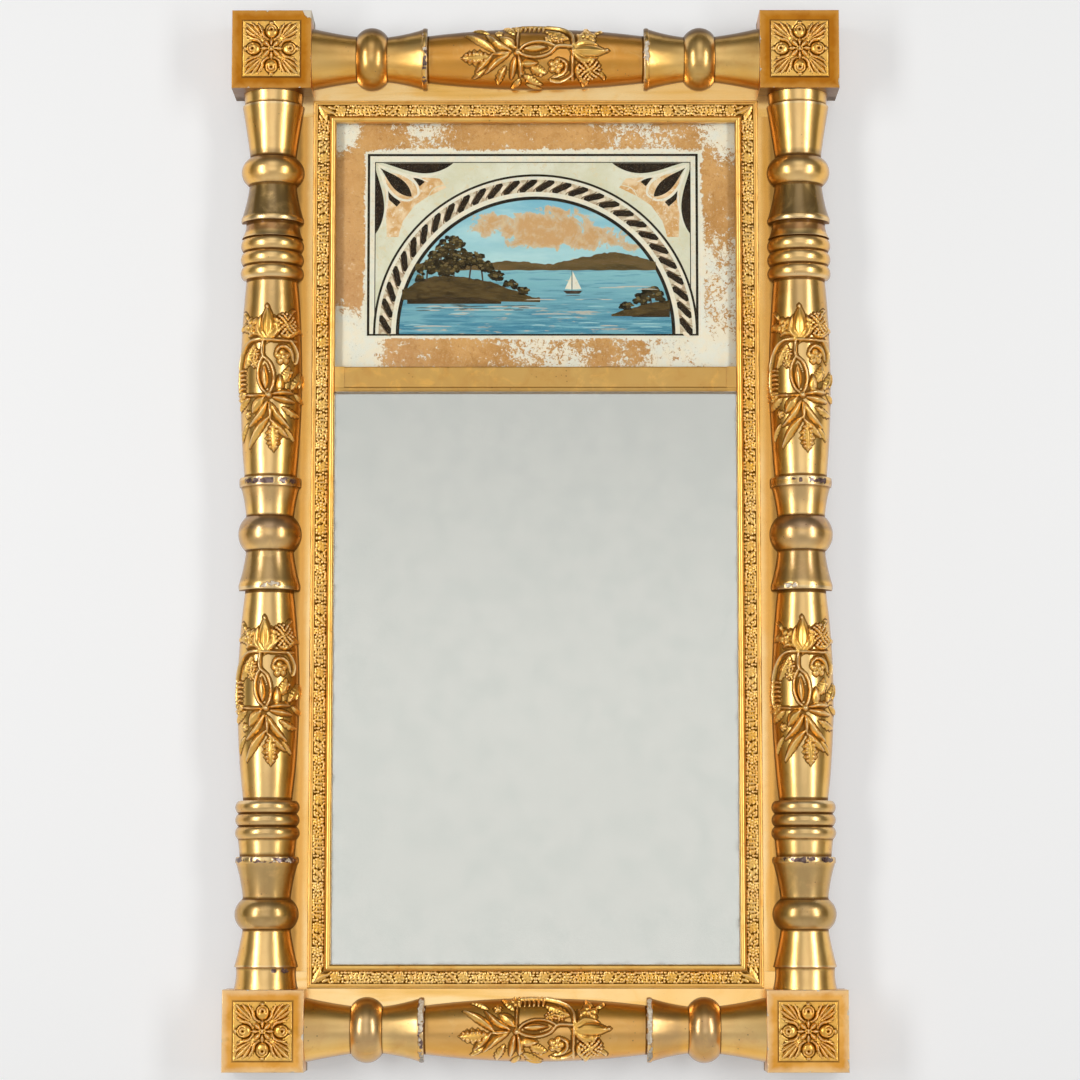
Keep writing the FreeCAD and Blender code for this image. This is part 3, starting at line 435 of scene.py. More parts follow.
def gilded_block(name, cx, cz, tones, chipped=None):
    """Oil gilding on a block: mottled, rubbed pale at its arrises, with painted shade underneath and round
    its rosette, and bare behind.
    """
    p = Paint(name)
    patch, fine = p.noise(95, 4, 0.62, 0.5), p.noise(520, 4, 0.62)
    bright, deep, rubbed_tone = tones
    p.color = p.mix(p.over(0.36, 0.64, p.noise(24, 3, 0.6)), bright, deep)
    p.cover(p.over(0.48, 0.70, patch) * 0.6, deep)
    p.cover(p.over(0.52, 0.7, p.noise(60, 3, 0.6, 0.6)) * 0.4, (0.64, 0.28, 0.02))
    up, half = p.z - cz * MM, BLOCK_HALF * MM
    ax, az = abs(p.x - cx * MM), abs(up)
    near_x, near_z, near_y = half - ax, half - az, p.y - BLOCK_FRONT * MM
    on_front = p.over(0.0012, 0.0004, near_y)
    rim = p.blend(on_front, p.least(near_y, p.most(near_x, near_z)), p.least(near_x, near_z))
    p.cover(p.over(0.0062, 0.0012, rim + (patch - 0.5) * 0.006) * 0.55, rubbed_tone)
    rubbed = p.over(0.0011, 0.0002, rim + (p.noise(300, 4, 0.7) - 0.5) * 0.0026)
    chips = p.over(0.0020, 0.0012, rim + (p.noise(85, 3, 0.6) - 0.31) * 0.016)
    if chipped:
        dx = p.x - (cx + chipped[0] * BLOCK_HALF) * MM
        dz = p.z - (cz + chipped[1] * BLOCK_HALF) * MM
        far = p.math("SQRT", dx * dx + dz * dz) + (p.noise(220, 3, 0.6) - 0.5) * 0.006
        chips = p.most(chips, p.over(0.0078, 0.0070, far))
    # painted shadow: a dark ring on the front just round the rosette
    p.cover(p.over(0.0268, 0.0249, p.most(ax, az)) * on_front * 0.75, (0.17, 0.08, 0.02))
    p.cover(rubbed * 0.6, rubbed_tone)
    p.cover(chips, GESSO)
    # painted shade on the underside of the block
    under = p.over(-half + 0.0006, -half + 0.0001, up) * p.over(0.0008, 0.0020, near_y)
    p.cover(under * 0.8, (0.10, 0.045, 0.012))
    worn = p.over(0.64, 0.70, fine * 0.5 + p.noise(160, 4, 0.7) * 0.5) * 0.4
    p.cover(worn, BOLE)
    p.metal = p.blend(p.most(chips, rubbed * 0.3), 0.97, 0.0)
    p.cover(worn * 0.5, metal=0.2)
    p.rough = p.blend(chips, p.blend(patch, 0.24, 0.34) + fine * 0.06, 0.8)
    back = p.over(-0.016, -0.012, p.y + (patch - 0.5) * 0.008)
    wood = p.mix(p.over(0.4, 0.6, p.streaks("z", 6, 90)), (0.36, 0.22, 0.11), (0.22, 0.125, 0.06))
    p.cover(back * 0.85, wood)
    p.cover(back, metal=0.0, rough=0.75)
    height = fine * 0.5 + p.noise(110, 3, 0.5) * 1.8 - chips * 2.5
    return p.finish(Normal=p.bump(height, 0.0003, 0.6), Coat_Weight=0.1, Coat_Roughness=0.3)


def metal_finish(name, base, dark, rough, rust=0.0):
    """Dull old metal with tarnish in patches and fine scratches."""
    p = Paint(name)
    patch, scratch = p.noise(260, 4, 0.65, 0.5), p.streaks("z", 3500, 900, 2, 0.5)
    p.color = p.mix(p.over(0.4, 0.66, patch), base, dark)
    p.cover(p.over(0.5, 0.7, p.noise(700)) * rust, (0.19, 0.075, 0.03))
    p.rough = p.blend(patch, rough, rough + 0.2) + scratch * 0.08
    p.metal = p.blend(p.over(0.45, 0.7, patch) * rust, 1.0, 0.2)
    return p.finish(Normal=p.bump(scratch, 0.0001, 0.5))


def silvering(name):
    """Tin amalgam: an even soft grey mirror, a little darker at its very edge."""
    p = Paint(name)
    p.color = p.mix(p.over(0.3, 0.75, p.noise(5, 3, 0.5)), (0.655, 0.638, 0.617), (0.647, 0.63, 0.609))
    low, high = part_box("mirror_silvering")
    edge = p.least(high[0] - abs(p.x), p.least(high[2] - p.z, p.z - low[2]))
    # darker and rougher towards the edge
    darker_edge = p.over(0.0085, 0.003, edge + (p.noise(90, 4, 0.6) - 0.45) * 0.010)
    p.cover(darker_edge * 0.4, (0.26, 0.23, 0.18))
    p.metal, p.rough = 1.0, p.blend(darker_edge, 0.03, 0.35)
    return p.finish()


def pane(name, index):
    """Thin old glass that lets lamp light through to what lies behind it."""
    p = Paint(name)
    color = p.mix(p.over(0.4, 0.7, p.noise(40)), (0.95, 0.97, 0.955), (0.93, 0.955, 0.94))
    body = p.put("BsdfPrincipled", {"Base Color": color, "Roughness": 0.0, "Transmission Weight": 1.0,
                                    "IOR": index, "Normal": p.bump(p.noise(9, 2, 0.5), 0.0002, 0.2)})
    p.show(p.either(p.ray("Shadow"), body, p.put("BsdfTransparent", {0: (0.95, 0.965, 0.955)})))
    return p.material


# Turned half balusters, in millimetres. Each station is its place from the middle, its radius and the
# rise of the bowed line to it.


def beads(first, last, root=24.6, rise=2.9, count=3):
    """The stations of a row of alike beads."""
    return [(first + (last - first) * n / count, root, rise) for n in range(1, count + 1)]


UPRIGHT_HALF = MID_Z - BASE_Z - BLOCK_HALF - GAP
LEVEL_HALF = AXIS_X - BLOCK_HALF - GAP
TOP_DROP = 2.3
LARGEST_RADIUS = 27.9
UPRIGHT = [
    (-UPRIGHT_HALF, 27.3, 0), (-370.0, 25.6, -0.8), (-369.4, 27.2, 0), (-337.9, 20.4, -0.5),
    (-337.4, 21.2, 0), (-312.6, 21.2, 6.2), (-311.5, 20.4, 0), (-281.8, 26.4, -0.7),
    (-281.8, 26.9, 0), (-276.4, 26.6, 0.5), (-276.4, 23.4, 0), (-261.3, 25.0, 0),
    *beads(-261.3, -228.6), (-228.6, 20.9, 0), (-48.1, 20.9, 5.7),
    (-48.1, 26.2, 0), (-41.6, 26.2, 0.5), (-13.8, 20.6, -0.7), (-13.4, 21.3, 0), (15.4, 21.3, 6.1),
    (15.9, 20.6, 0), (41.4, 25.2, -0.6), (41.4, 26.4, 0), (49.2, 26.6, 0.4), (49.2, 22.4, 0),
    (223.1, 22.4, 4.3), (223.1, 24.6, 0), *beads(223.1, 259.8),
    (259.8, 26.8, 0), (273.6, 23.0, -0.9), (273.6, 26.8, 0), (278.9, 26.6, 0.7), (306.6, 20.6, -0.7),
    (307.2, 21.2, 0), (331.0, 21.2, 6.2), (331.6, 20.4, 0), (333.2, 20.2, 0),
    (377.4, 27.2, -0.3), (377.4, 25.2, 0), (UPRIGHT_HALF, 26.2, -0.2),
]
LEVEL = [
    (-LEVEL_HALF, 27.2, 0), (-156.4, 20.2, -0.5), (-156.0, 21.4, 0), (-130.7, 21.4, 6.4),
    (-129.8, 19.8, 0), (-98.8, 26.5, -0.7), (-98.8, 27.1, 0), (-94.6, 27.1, 0.5), (-94.6, 20.6, 0),
]
LEVEL_SWELL = 6.1
CUP_EDGE = 96.6
SHALLOW, DEEP = 0.01, 2


def arc_points(s0, r0, s1, r1, rise):
    """Points after the first along a line that is bowed by its rise."""
    length = math.hypot(s1 - s0, r1 - r0)
    bowed = abs(rise) > SHALLOW
    count = max(1, math.ceil(length / (0.7 if bowed else 3.0)))
    if abs(rise) > DEEP:
        count = max(count, 26)
    nx, nr = -(r1 - r0) / length, (s1 - s0) / length
    radius = (length * length / 4 + rise * rise) / (2 * abs(rise)) if bowed else 0.0
    points = []
    for t in (i / count for i in range(1, count + 1)):
        bow = 0.0
        if bowed:
            along = (t - 0.5) * length
            bow = math.copysign(math.sqrt(max(radius**2 - along**2, 0)) - (radius - abs(rise)), rise)
        points.append((s0 + (s1 - s0) * t + nx * bow, r0 + (r1 - r0) * t + nr * bow))
    return points


def outline(stations, middle_rise=None):
    """The profile of a turning, end to end. With a middle rise, the stations are its first half."""
    points = [stations[0][:2]]
    for place, radius, rise in stations[1:]:
        points += arc_points(*points[-1], place, radius, rise)
    if middle_rise is not None:
        place, radius = points[-1]
        middle = arc_points(place, radius, -place, radius, middle_rise)
        points += middle + [(-s, r) for s, r in reversed(points[:-1])]
    return eased(points)


def eased(points, cut=0.42, sharpest=math.radians(22)):
    """Round each hard corner of a profile a little, as gesso does."""
    points = [p for i, p in enumerate(points) if i == 0 or math.dist(p, points[i - 1]) > 1e-6]
    out = [points[0]]
    for before, here, after in zip(points, points[1:], points[2:]):
        arms = [(p[0] - here[0], p[1] - here[1]) for p in (before, after)]
        (a, b), (la, lb) = arms, [math.hypot(*arm) for arm in arms]
        turn = math.pi - math.acos(max(-1, min(1, (a[0] * b[0] + a[1] * b[1]) / (la * lb))))
        if turn < sharpest:
            out.append(here)
            continue
        ca, cb = min(cut, la * 0.45) / la, min(cut, lb * 0.45) / lb
        for t in (0.0, 0.33, 0.67, 1.0):
            wa, wb = (1 - t) ** 2 * ca, t * t * cb
            out.append((here[0] + a[0] * wa + b[0] * wb, here[1] + a[1] * wa + b[1] * wb))
    out.append(points[-1])
    return np.array(out)


upright_profile = outline(UPRIGHT)
level_profile = outline(LEVEL, LEVEL_SWELL)


def on_turning(axis, centre, across, s, angle, radius):
    """The place of a point on a half turning: s along it, angle from straight ahead."""
    aside, ahead = across + radius * np.sin(angle), BOARD - radius * np.cos(angle)
    if axis == "z":
        return np.stack([aside, ahead, centre + s], -1)
    return np.stack([centre + s, ahead, aside], -1)


def unevenness(s, angle, seed):
    """How far a hand-turned surface strays from its profile."""
    return (layered(s * 0.07, angle * 2.2, seed) - 0.5) * 0.2


def losses(S, A, places, seed):
    """Where gesso is lost along rims, from 0 to 1. Each place is (place, amount, middle angle, reach)."""
    lost = np.zeros_like(S)
    for place, amount, middle, reach in places:
        ragged = layered(A * 5.5 + place, S * 0.12, seed + 7, 4)
        loss = step_between(0.66 - 0.3 * amount, 0.78 - 0.3 * amount, ragged)
        from_rim = np.abs(S - place) + (smooth_noise(A * 14, S * 0.6, seed + 3) - 0.5) * 2.4
        near = step_between(2.7, 1.0, from_rim) * step_between(reach, reach * 0.5, np.abs(A - middle))
        lost = np.maximum(lost, loss * near)
    return lost


def turning(name, axis, centre, across, profile, material, chips, cracks, seed):
    """A lathe-turned half with a slight hand-made unevenness, and gesso or leaf lost at its rims."""
    s, r = profile.T
    count, window, quarter = 65, 27, math.pi / 2
    S, A = np.meshgrid(s, np.linspace(-quarter, quarter, count), indexing="ij")
    even_s = np.linspace(s[0], s[-1], 3200)
    even = np.interp(even_s, s, r)
    near = np.convolve(np.pad(even, window // 2, mode="edge"), np.ones(window) / window, mode="valid")
    proud = np.interp(s, even_s, even - near)
    bare, crack = losses(S, A, chips, seed), losses(S, A, cracks, seed + 20)
    R = r[:, None] + unevenness(S, A, seed) - 0.75 * bare - 0.35 * crack
    points = on_turning(axis, centre, across, S, A, np.minimum(R, LARGEST_RADIUS)).reshape(-1, 3)
    faces = []
    for base in range(0, (len(s) - 1) * count, count):
        faces += [(j, j + 1, j + count + 1, j + count) for j in range(base, base + count - 1)]
        faces.append((base, base + count, base + 2 * count - 1, base + count - 1))
    faces.append(tuple(range(count)))
    faces.append(tuple(range(len(points) - count, len(points)))[::-1])
    # hollow, edge and shaded steer the gilding's painted shade and highlights; bare and crack mark lost
    # gesso
    new_piece("turned_" + name, points, faces, [material], name, 30, {
        "hollow": np.repeat(from_zero_to_one(0.5 + proud / 1.7), count), "bare": bare, "crack": crack,
        "edge": np.abs(A / quarter), "shaded": A / quarter * (1 if across < 0 or axis == "x" else -1)})


# Relief worked on a grid of heights, for cast composition


class Relief:
    """A field of heights in millimetres over a flat patch, with shapes laid on it."""

    def __init__(self, x0, x1, y0, y1, step, floor=0.0, moat=0.0):
        self.floor, self.moat = floor, moat
        self.x, self.y = (np.linspace(a, b, round((b - a) / step) + 1) for a, b in ((x0, x1), (y0, y1)))
        self.X, self.Y = np.meshgrid(self.x, self.y, indexing="ij")
        self.h = np.full(self.X.shape, float(floor))

    def laid(self, under, height, q):
        """A shape laid on what is there, where q is over 0, with a groove of the moat's depth round it."""
        outside = from_zero_to_one(1 + q / 0.6) * (q < 0) * (under > 0.3)
        over = np.maximum(under - self.moat * outside, np.where(q < 0, self.floor, height))
        return np.maximum(over, self.floor)

    def lay(self, height, q):
        self.h = self.laid(self.h, height, q)

    @staticmethod
    def rounded(q, power=0.85):
        q = np.clip(q, -1, 1)
        return np.sign(q) * np.abs(q) ** power

    def local(self, cx, cy, turn):
        c, s = math.cos(turn), math.sin(turn)
        dx, dy = self.X - cx, self.Y - cy
        return dx * c + dy * s, -dx * s + dy * c

    def knob(self, cx, cy, rx, ry, high, turn=0.0, power=0.75):
        u, v = self.local(cx, cy, turn)
        q = 1 - (u / rx) ** 2 - (v / ry) ** 2
        self.lay(high * self.rounded(q, power), q)

    def line(self, points, width, high, taper=None):
        """A rounded stem along a smooth line through the points, which may taper to another width."""
        path = smooth_line(points)
        best = np.full(self.X.shape, 9e9)
        size = np.full(self.X.shape, float(width))
        for (px, py), w in zip(path, np.linspace(width, taper or width, len(path))):
            away = np.hypot(self.X - px, self.Y - py)
            size = np.where(away < best, w, size)
            best = np.minimum(best, away)
        q = 1 - (best / size) ** 2
        self.lay(high * self.rounded(q, 0.75), q)

    def leaf(self, points, width, high, veins=0, lobes=0.0, rib=0.35, fat=0.85, lobe_count=5,
             vein_depth=0.2):
        """A leaf along a smooth line: lobed edge, middle rib and slanting veins."""
        path = smooth_line(points)
        run = np.concatenate([[0], np.cumsum(np.hypot(*np.diff(path, axis=0).T))])
        lo, hi = path.min(0) - width * 1.6, path.max(0) + width * 1.6
        near = np.ix_((self.x >= lo[0]) & (self.x <= hi[0]), (self.y >= lo[1]) & (self.y <= hi[1]))
        X, Y = self.X[near], self.Y[near]
        best = np.full(X.shape, 9e9)
        t, side, over = np.zeros((3, *X.shape))
        for (px, py), (tx, ty), a in zip(path, headings(path), run):
            dx, dy = X - px, Y - py
            away = np.hypot(dx, dy)
            closer = away < best
            best = np.where(closer, away, best)
            t = np.where(closer, a / run[-1], t)
            side = np.where(closer, np.abs(dx * -ty + dy * tx), side)
            over = np.where(closer, np.abs(dx * tx + dy * ty), over)
        shape = np.maximum(np.sin(np.pi * t**fat) ** 0.75, 0.02)
        if lobes:
            wave = np.abs(np.sin(np.pi * lobe_count * t - 0.35 * side / width))
            shape = shape * (1 - lobes + lobes * 1.25 * wave)
        d = side / (width * shape) + over / (0.35 * width)
        q = 1 - d * d
        body = high * (0.45 + 0.55 * np.sin(np.pi * np.clip(t, 0.04, 0.96) ** 0.9)) * self.rounded(q)
        body = body + rib * np.exp(-((side / 0.55) ** 2)) * (q > 0)
        if veins:
            wave = np.clip(np.cos(2 * np.pi * (t + side / run[-1] * 0.9) * veins), 0, 1)
            body = body - vein_depth * (q > 0) * wave**2 * from_zero_to_one(d * 2)
        self.h[near] = self.laid(self.h[near], body, q)

    def leaves(self, *rows):
        """Leaves along three points each: x and y of the points, then what leaf takes after its points."""
        for x0, y0, x1, y1, x2, y2, *rest in rows:
            self.leaf([(x0, y0), (x1, y1), (x2, y2)], *rest)

    def berries(self, cx, cy, radius, high, turn, size):
        """A cluster of small round berries on a low mound."""
        self.knob(cx, cy, radius * 0.95, radius * 0.95, high * 0.55)
        rings = int(radius / (size * 1.25))
        for ring in range(rings + 1):
            count = max(1, round(2 * math.pi * ring / 1.55))
            away, lift = ring * size * 1.55, high * (0.62 + 0.3 * (1 - ring / (rings + 1)))
            for k in range(count):
                a = 2 * math.pi * k / count + ring * 0.7 + turn
                self.berry(cx + away * math.cos(a), cy + away * math.sin(a), size, lift)

    def berry(self, cx, cy, size, lift):
        q = 1 - ((self.X - cx) ** 2 + (self.Y - cy) ** 2) / size**2
        self.lay(lift - 0.5 + 0.95 * np.sqrt(from_zero_to_one(q)), q)

    def blossom(self, cx, cy, radius, high, turn):
        """An open flower with five rounded petals and a button at its middle."""
        dx, dy = self.X - cx, self.Y - cy
        r, a = np.hypot(dx, dy), np.arctan2(dy, dx) + turn
        wave = np.abs(np.cos(a * 5 / 2))
        q = 1 - (r / (radius * (0.66 + 0.34 * wave**0.7))) ** 2
        body = high * self.rounded(q, 0.6) * (0.62 + 0.38 * wave)
        self.lay(body - 0.35 * high * np.exp(-((r / (radius * 0.38)) ** 2)) * (q > 0), q)
        self.knob(cx, cy, radius * 0.28, radius * 0.28, high, power=0.5)

    def bud(self, cx, cy, long, wide, high):
        """A closed pointed bud held by two sepals."""
        foot = (cx - long * 0.5, cy)
        self.leaf([foot, (cx, cy), (cx + long * 0.55, cy)], wide * 0.5, high, rib=0.4, fat=0.75)
        for out in (wide, -wide):
            self.leaf([foot, (cx - long * 0.15, cy + out * 0.55), (cx + long * 0.28, cy + out * 0.42)],
                      wide * 0.24, high * 0.85, rib=0.15)

    def hollow(self, reach=3, span=2.0):
        """How proud each point stands of its neighbours, from 0 in a hollow to 1 on a crest."""
        near = softened(np.maximum(self.h, 0), reach * 3)
        return from_zero_to_one(0.5 + (self.h - near) / span)


def smooth_line(points, spacing=0.35):
    """Points along a smooth line through the given ones."""
    pts = np.array(points, float)
    ends = np.vstack([2 * pts[0] - pts[1], pts, 2 * pts[-1] - pts[-2]])
    out = []
    for i in range(len(pts) - 1):
        p0, p1, p2, p3 = ends[i : i + 4]
        count = max(2, int(np.hypot(*(p2 - p1)) / spacing))
        t = np.linspace(0, 1, count, endpoint=i == len(pts) - 2)[:, None]
        out.append(0.5 * (2 * p1 + (p2 - p0) * t + (2 * p0 - 5 * p1 + 4 * p2 - p3) * t**2
                          + (3 * p1 - p0 - 3 * p2 + p3) * t**3))
    return np.vstack(out)


def headings(path):
    """The unit direction at each point of a path."""
    direction = np.gradient(path, axis=0)
    return direction / np.hypot(*direction.T)[:, None]


SPRAY_LIFT = 1.35
SPRAY_RADIUS = 26.4
SPRAY_SUNK = 1.1
FILM_THICK = 0.09
FILM_REACH = 3


def spray_relief():
    """One cast spray: bud, blossom, berries, looped stems, lobed leaves, a berried leaf at its foot.

    x runs up the spray and y across it to the viewer's right."""
    f = Relief(-66, 67, -41, 41, 0.5, floor=-0.7, moat=0.8)
    # leaves and sprigs that lie lowest
    f.leaves((40, -19, 45, -26, 42, -33, 4.0, 1.9, 6, 0.25), (38, 22, 43, 29, 41, 36, 3.8, 1.8, 5, 0.2),
             (52, 17, 58, 22, 60, 28, 2.6, 1.4, 4), (50, -21, 56, -26, 58, -32, 2.6, 1.4, 4),
             (29, -13, 18, -18, 8, -23, 5.0, 2.2, 9, 0.3, 0.35, 0.85, 6))
    for i in range(7):
        x = 6 - i * 3.9
        f.leaves((x, -31.5, x + 0.9, -26.5, x + 0.2, -21.5, 1.75, 2.0, 0, 0, 0.3),
                 (x - 1, -32.0, x, -36.0, x - 1.5, -39.5, 1.7, 1.5, 0, 0, 0.3))
    f.leaves((-4, 12, 2, 16, 10, 18, 5.2, 2.1, 7, 0.3), (-10, 20, -2, 27, 6, 31, 4.4, 1.9, 6, 0.25),
             (-8, 30, 0, 35, 6, 38, 3.0, 1.4, 5, 0.2), (-18, -18, -22, -26, -28, -33, 4.4, 1.9, 7, 0.28),
             (-14, 24, -17, 31, -21, 37, 3.4, 1.7, 6, 0.2), (-26, 12, -31, 22, -33, 32, 3.6, 2.0, 8, 0.25),
             (-44, 15, -50, 21, -55, 26, 3.0, 1.6, 5, 0.2), (-40, -20, -47, -26, -55, -30, 3.0, 1.6, 6, 0.2))
    # crown: a bud between a blossom and a cluster of berries
    f.blossom(45.0, -16.0, 8.6, 2.8, 0.5)
    f.leaves((36, -7, 39, -13, 36, -20, 3.0, 2.2, 5))
    f.berries(46.4, 14.8, 7.6, 3.0, 0.4, 1.5)
    f.leaves((37, 10, 36, 17, 38, 25, 2.8, 2.0, 5))
    f.bud(46, -1.6, 31, 14.5, 3.2)
    f.knob(62.2, -2.2, 2.2, 1.8, 2.2)
    # bar across, arching down at both sides
    f.line([(32.4, -15.5), (32.6, 0), (32.0, 12), (32.2, 24.5)], 1.5, 2.7)
    f.line([(33.6, -6.8), (32.4, -14.7), (28.9, -20.9), (21.8, -26.2), (14.8, -29.0), (9.2, -30.8)],
           1.7, 2.7, 1.3)
    f.line([(32.4, 18.6), (27.1, 23.2), (20.1, 26.2), (13.0, 24.5)], 1.6, 2.6, 1.2)
    # small berries inside the left arch
    f.berries(20.5, -12.5, 3.6, 2.2, 1.1, 1.2)
    f.berries(12.5, -12.0, 3.0, 2.0, 2.1, 1.15)
    f.line([(8, -30.5), (-4, -31.5), (-13, -30), (-18, -26.5)], 1.3, 2.4)
    f.berries(-17.0, -27.0, 3.2, 2.3, 0.9, 1.15)
    # right flower under its hood
    f.blossom(17.9, 12.0, 7.2, 3.0, 0.1)
    f.leaf([(19.5, 4.6), (26.8, 9.6), (24.5, 17.5), (13.0, 23.0)], 2.3, 2.6, 7)
    # middle stem bowing round a closed pod
    f.line([(31, -5.2), (24, -5.6), (18.3, -4.8), (13.1, 0.4), (6.1, 3.2), (-2.7, 4.0), (-11.5, 2.0),
            (-15, -1)], 1.5, 2.8)
    f.line([(18.3, -4.8), (10, -8.4), (0, -9.0), (-9, -6.2), (-14, -2)], 1.3, 2.4)
    f.leaves((11.5, -3.6, 1, -3.4, -10.5, -2.6, 3.6, 3.2, 0, 0, 0.6, 1.25),
             # pointed leaf and its neighbour right of the pod
             (-12.5, 9.5, -6, 9.4, 2.4, 8.9, 4.2, 2.8, 8, 0, 0.6, 0.7))
    f.knob(-11.9, 17.6, 2.3, 2.3, 2.6)
    f.knob(4.6, 19.6, 1.9, 1.9, 2.4)
    # knot, with palm leaves to the right and a rounded leaf to the left
    f.line([(-15.9, -3), (-15.9, -10), (-15.4, -17), (-15.0, -25)], 1.2, 2.2)
    f.leaves((-17.5, -3.5, -23.0, -9.5, -31.0, -14.5, 5.2, 2.7, 8, 0, 0.5, 1.0))
    f.blossom(-31.7, -20.2, 3.8, 2.2, 0.4)
    f.leaves((-14.8, 2.5, -13.0, 12, -13.6, 23, 3.1, 2.9, 8, 0, 0.5),
             (-17.5, 3, -19.2, 13, -21.4, 25, 3.3, 2.8, 8, 0, 0.5))
    f.knob(-15.6, 0.2, 3.2, 3.0, 3.4)
    # long leaves that part below the knot, then a berried leaf at the foot
    f.leaves((-20.3, -0.8, -33.4, -8.0, -43.0, -18.5, 3.5, 2.8, 11, 0, 0.55),
             (-34.0, 1.0, -43.9, -8.0, -61.5, -19.5, 4.0, 2.9, 12, 0, 0.6),
             (-22.5, 1.6, -34.0, 8.0, -44.8, 20.0, 3.6, 2.9, 11, 0, 0.55),
             (-37.0, 1.6, -44.8, 9.4, -52.5, 18.5, 3.2, 2.6, 8, 0, 0.5),
             (-21, 0.4, -30, 1.2, -39, 1.4, 2.4, 3.0, 5, 0, 0.45),
             (-40, 3.2, -52, 4.6, -64.5, 5.0, 7.4, 2.6, 7, 0.34, 0.4, 1.0, 5, 0.5))
    for i in range(6):
        for side in (-1, 1):
            f.berry(-43.5 - i * 3.4, 4.4 + side * (2.0 + 1.1 * math.sin(math.pi * (i + 1) / 7)), 1.25, 2.5)
    f.h = np.where(f.h > -0.2, softened(f.h), f.h)
    f.h = np.where(f.h > 0, f.h * SPRAY_LIFT, f.h)
    return f


def grown_by_one(used):
    grown = used.copy()
    grown[1:] |= used[:-1]
    grown[:-1] |= used[1:]
    grown[:, 1:] |= used[:, :-1]
    grown[:, :-1] |= used[:, 1:]
    return grown


def cast_spray():
    """The spray with a thin film of old size round it, flat: places, heights, faces and marks. Its film
    marks where the gilding paints grime and painted shade round the foot of each shape.
    """
    f = spray_relief()
    grown = f.h > 0.0
    film = grown.astype(float)
    for ring in range(1, FILM_REACH + 1):
        wider = grown_by_one(grown)
        film = np.where(wider & ~grown, 1.0 - ring / FILM_REACH, film)
        grown = wider
    needed, _, quads = sheet_faces(grown)
    high = np.maximum(f.h, FILM_THICK)[needed]
    marks = {"hollow": [f.hollow()[needed]] * 2, "film": [film[needed]] * 2}
    return f.X[needed], f.Y[needed] / SPRAY_RADIUS, high, quads, marks


def applied_spray(node, axis, centre, across, profile, material, seed, spray):
    """Wrap the cast spray round a turning's swell. On a level turning it's turned over."""
    along, angle, high, quads, marks = spray
    level = axis == "x"
    s = middle_of(node, 0 if level else 2) - centre + along
    angle = np.clip(-angle if level else angle, -math.pi / 2 + 0.01, math.pi / 2 - 0.01)
    base = np.interp(s, *profile.T) + unevenness(s, angle, seed)
    top, under = (on_turning(axis, centre, across, s, angle, base + lift) for lift in (high, -SPRAY_SUNK))
    verts, faces = closed_sheet(top, under, quads[:, ::-1] if level else quads)
    new_piece("cast_" + node, verts, faces, [material], node, 60, marks)


def rosette_relief(half):
    """A square rosette: a flower, four bell flowers with deep throats, a fan of tongues in each corner."""
    f = Relief(-half, half, -half, half, 0.33, moat=0.7)
    f.h += 0.45
    k = half / 25.0

    def turned(a, *points):
        c, s = math.cos(a) * k, math.sin(a) * k
        return [(u * c - v * s, u * s + v * c) for u, v in points]

    quarters = [n * math.pi / 2 for n in range(4)]
    fan = ((23.0, 12.0, 1.9, 1.9), (12.0, 23.0, 1.9, 1.9), (23.4, 17.4, 2.2, 2.2), (17.4, 23.4, 2.2, 2.2),
           (22.6, 22.6, 2.7, 2.6))
    for a in quarters:
        for u, v, wide, high in fan:
            f.leaf(turned(a, (6.0 + 0.08 * u, 6.0 + 0.08 * v), (u * 0.62 + 0.6, v * 0.62 + 0.6), (u, v)),
                   wide * k, high, rib=0.25, fat=1.45)
        for out in (-1, 1):
            f.leaf(turned(a, (7.5, out * 2.0), (12.0, out * 7.4), (20.5, out * 8.2)), 1.9 * k, 2.3,
                   rib=0.2, fat=1.2)
    for a in quarters:
        bell, throat, tip = turned(a, (15.6, 0), (16.6, 0), (22.6, 0))
        f.knob(*bell, 6.0 * k, 5.3 * k, 3.0, a, 0.5)
        u, v = f.local(*throat, a)
        away = np.hypot(u, v) / k
        f.h -= 1.5 * np.exp(-(((away - 3.4) / 0.6) ** 2)) * step_between(-2.5, 0.5, u / k)
        f.h -= 2.3 * np.exp(-((away / 1.25) ** 2))
        f.knob(*tip, 1.5 * k, 2.2 * k, 1.7, a)
        f.leaf(turned(a, (2.2, 0), (5.6, 0), (9.6, 0)), 2.2 * k, 2.4, rib=0.2, fat=1.2)
    for a in quarters:
        f.leaf(turned(a + math.pi / 4, (1.44, 0), (5.76, 0), (9.6, 0)), 2.7 * k, 2.9, rib=0.2, fat=1.2)
    f.knob(0, 0, 3.2 * k, 2.4 * k, 3.0, power=0.5)
    for out in (-1, 1):
        f.h -= 1.7 * np.exp(-((np.hypot(f.X - 1.55 * k * out, f.Y) / (0.85 * k)) ** 2))
    f.h = np.maximum(softened(f.h), 0.0) + (layered(f.X * 0.7, f.Y * 0.7, 9) - 0.5) * 0.3
    margin = half - np.maximum(np.abs(f.X), np.abs(f.Y))
    f.h = np.maximum(f.h, 0.05) * step_between(-0.2, 1.0, margin)
    return f


ROSETTE_GROUND = 1.15


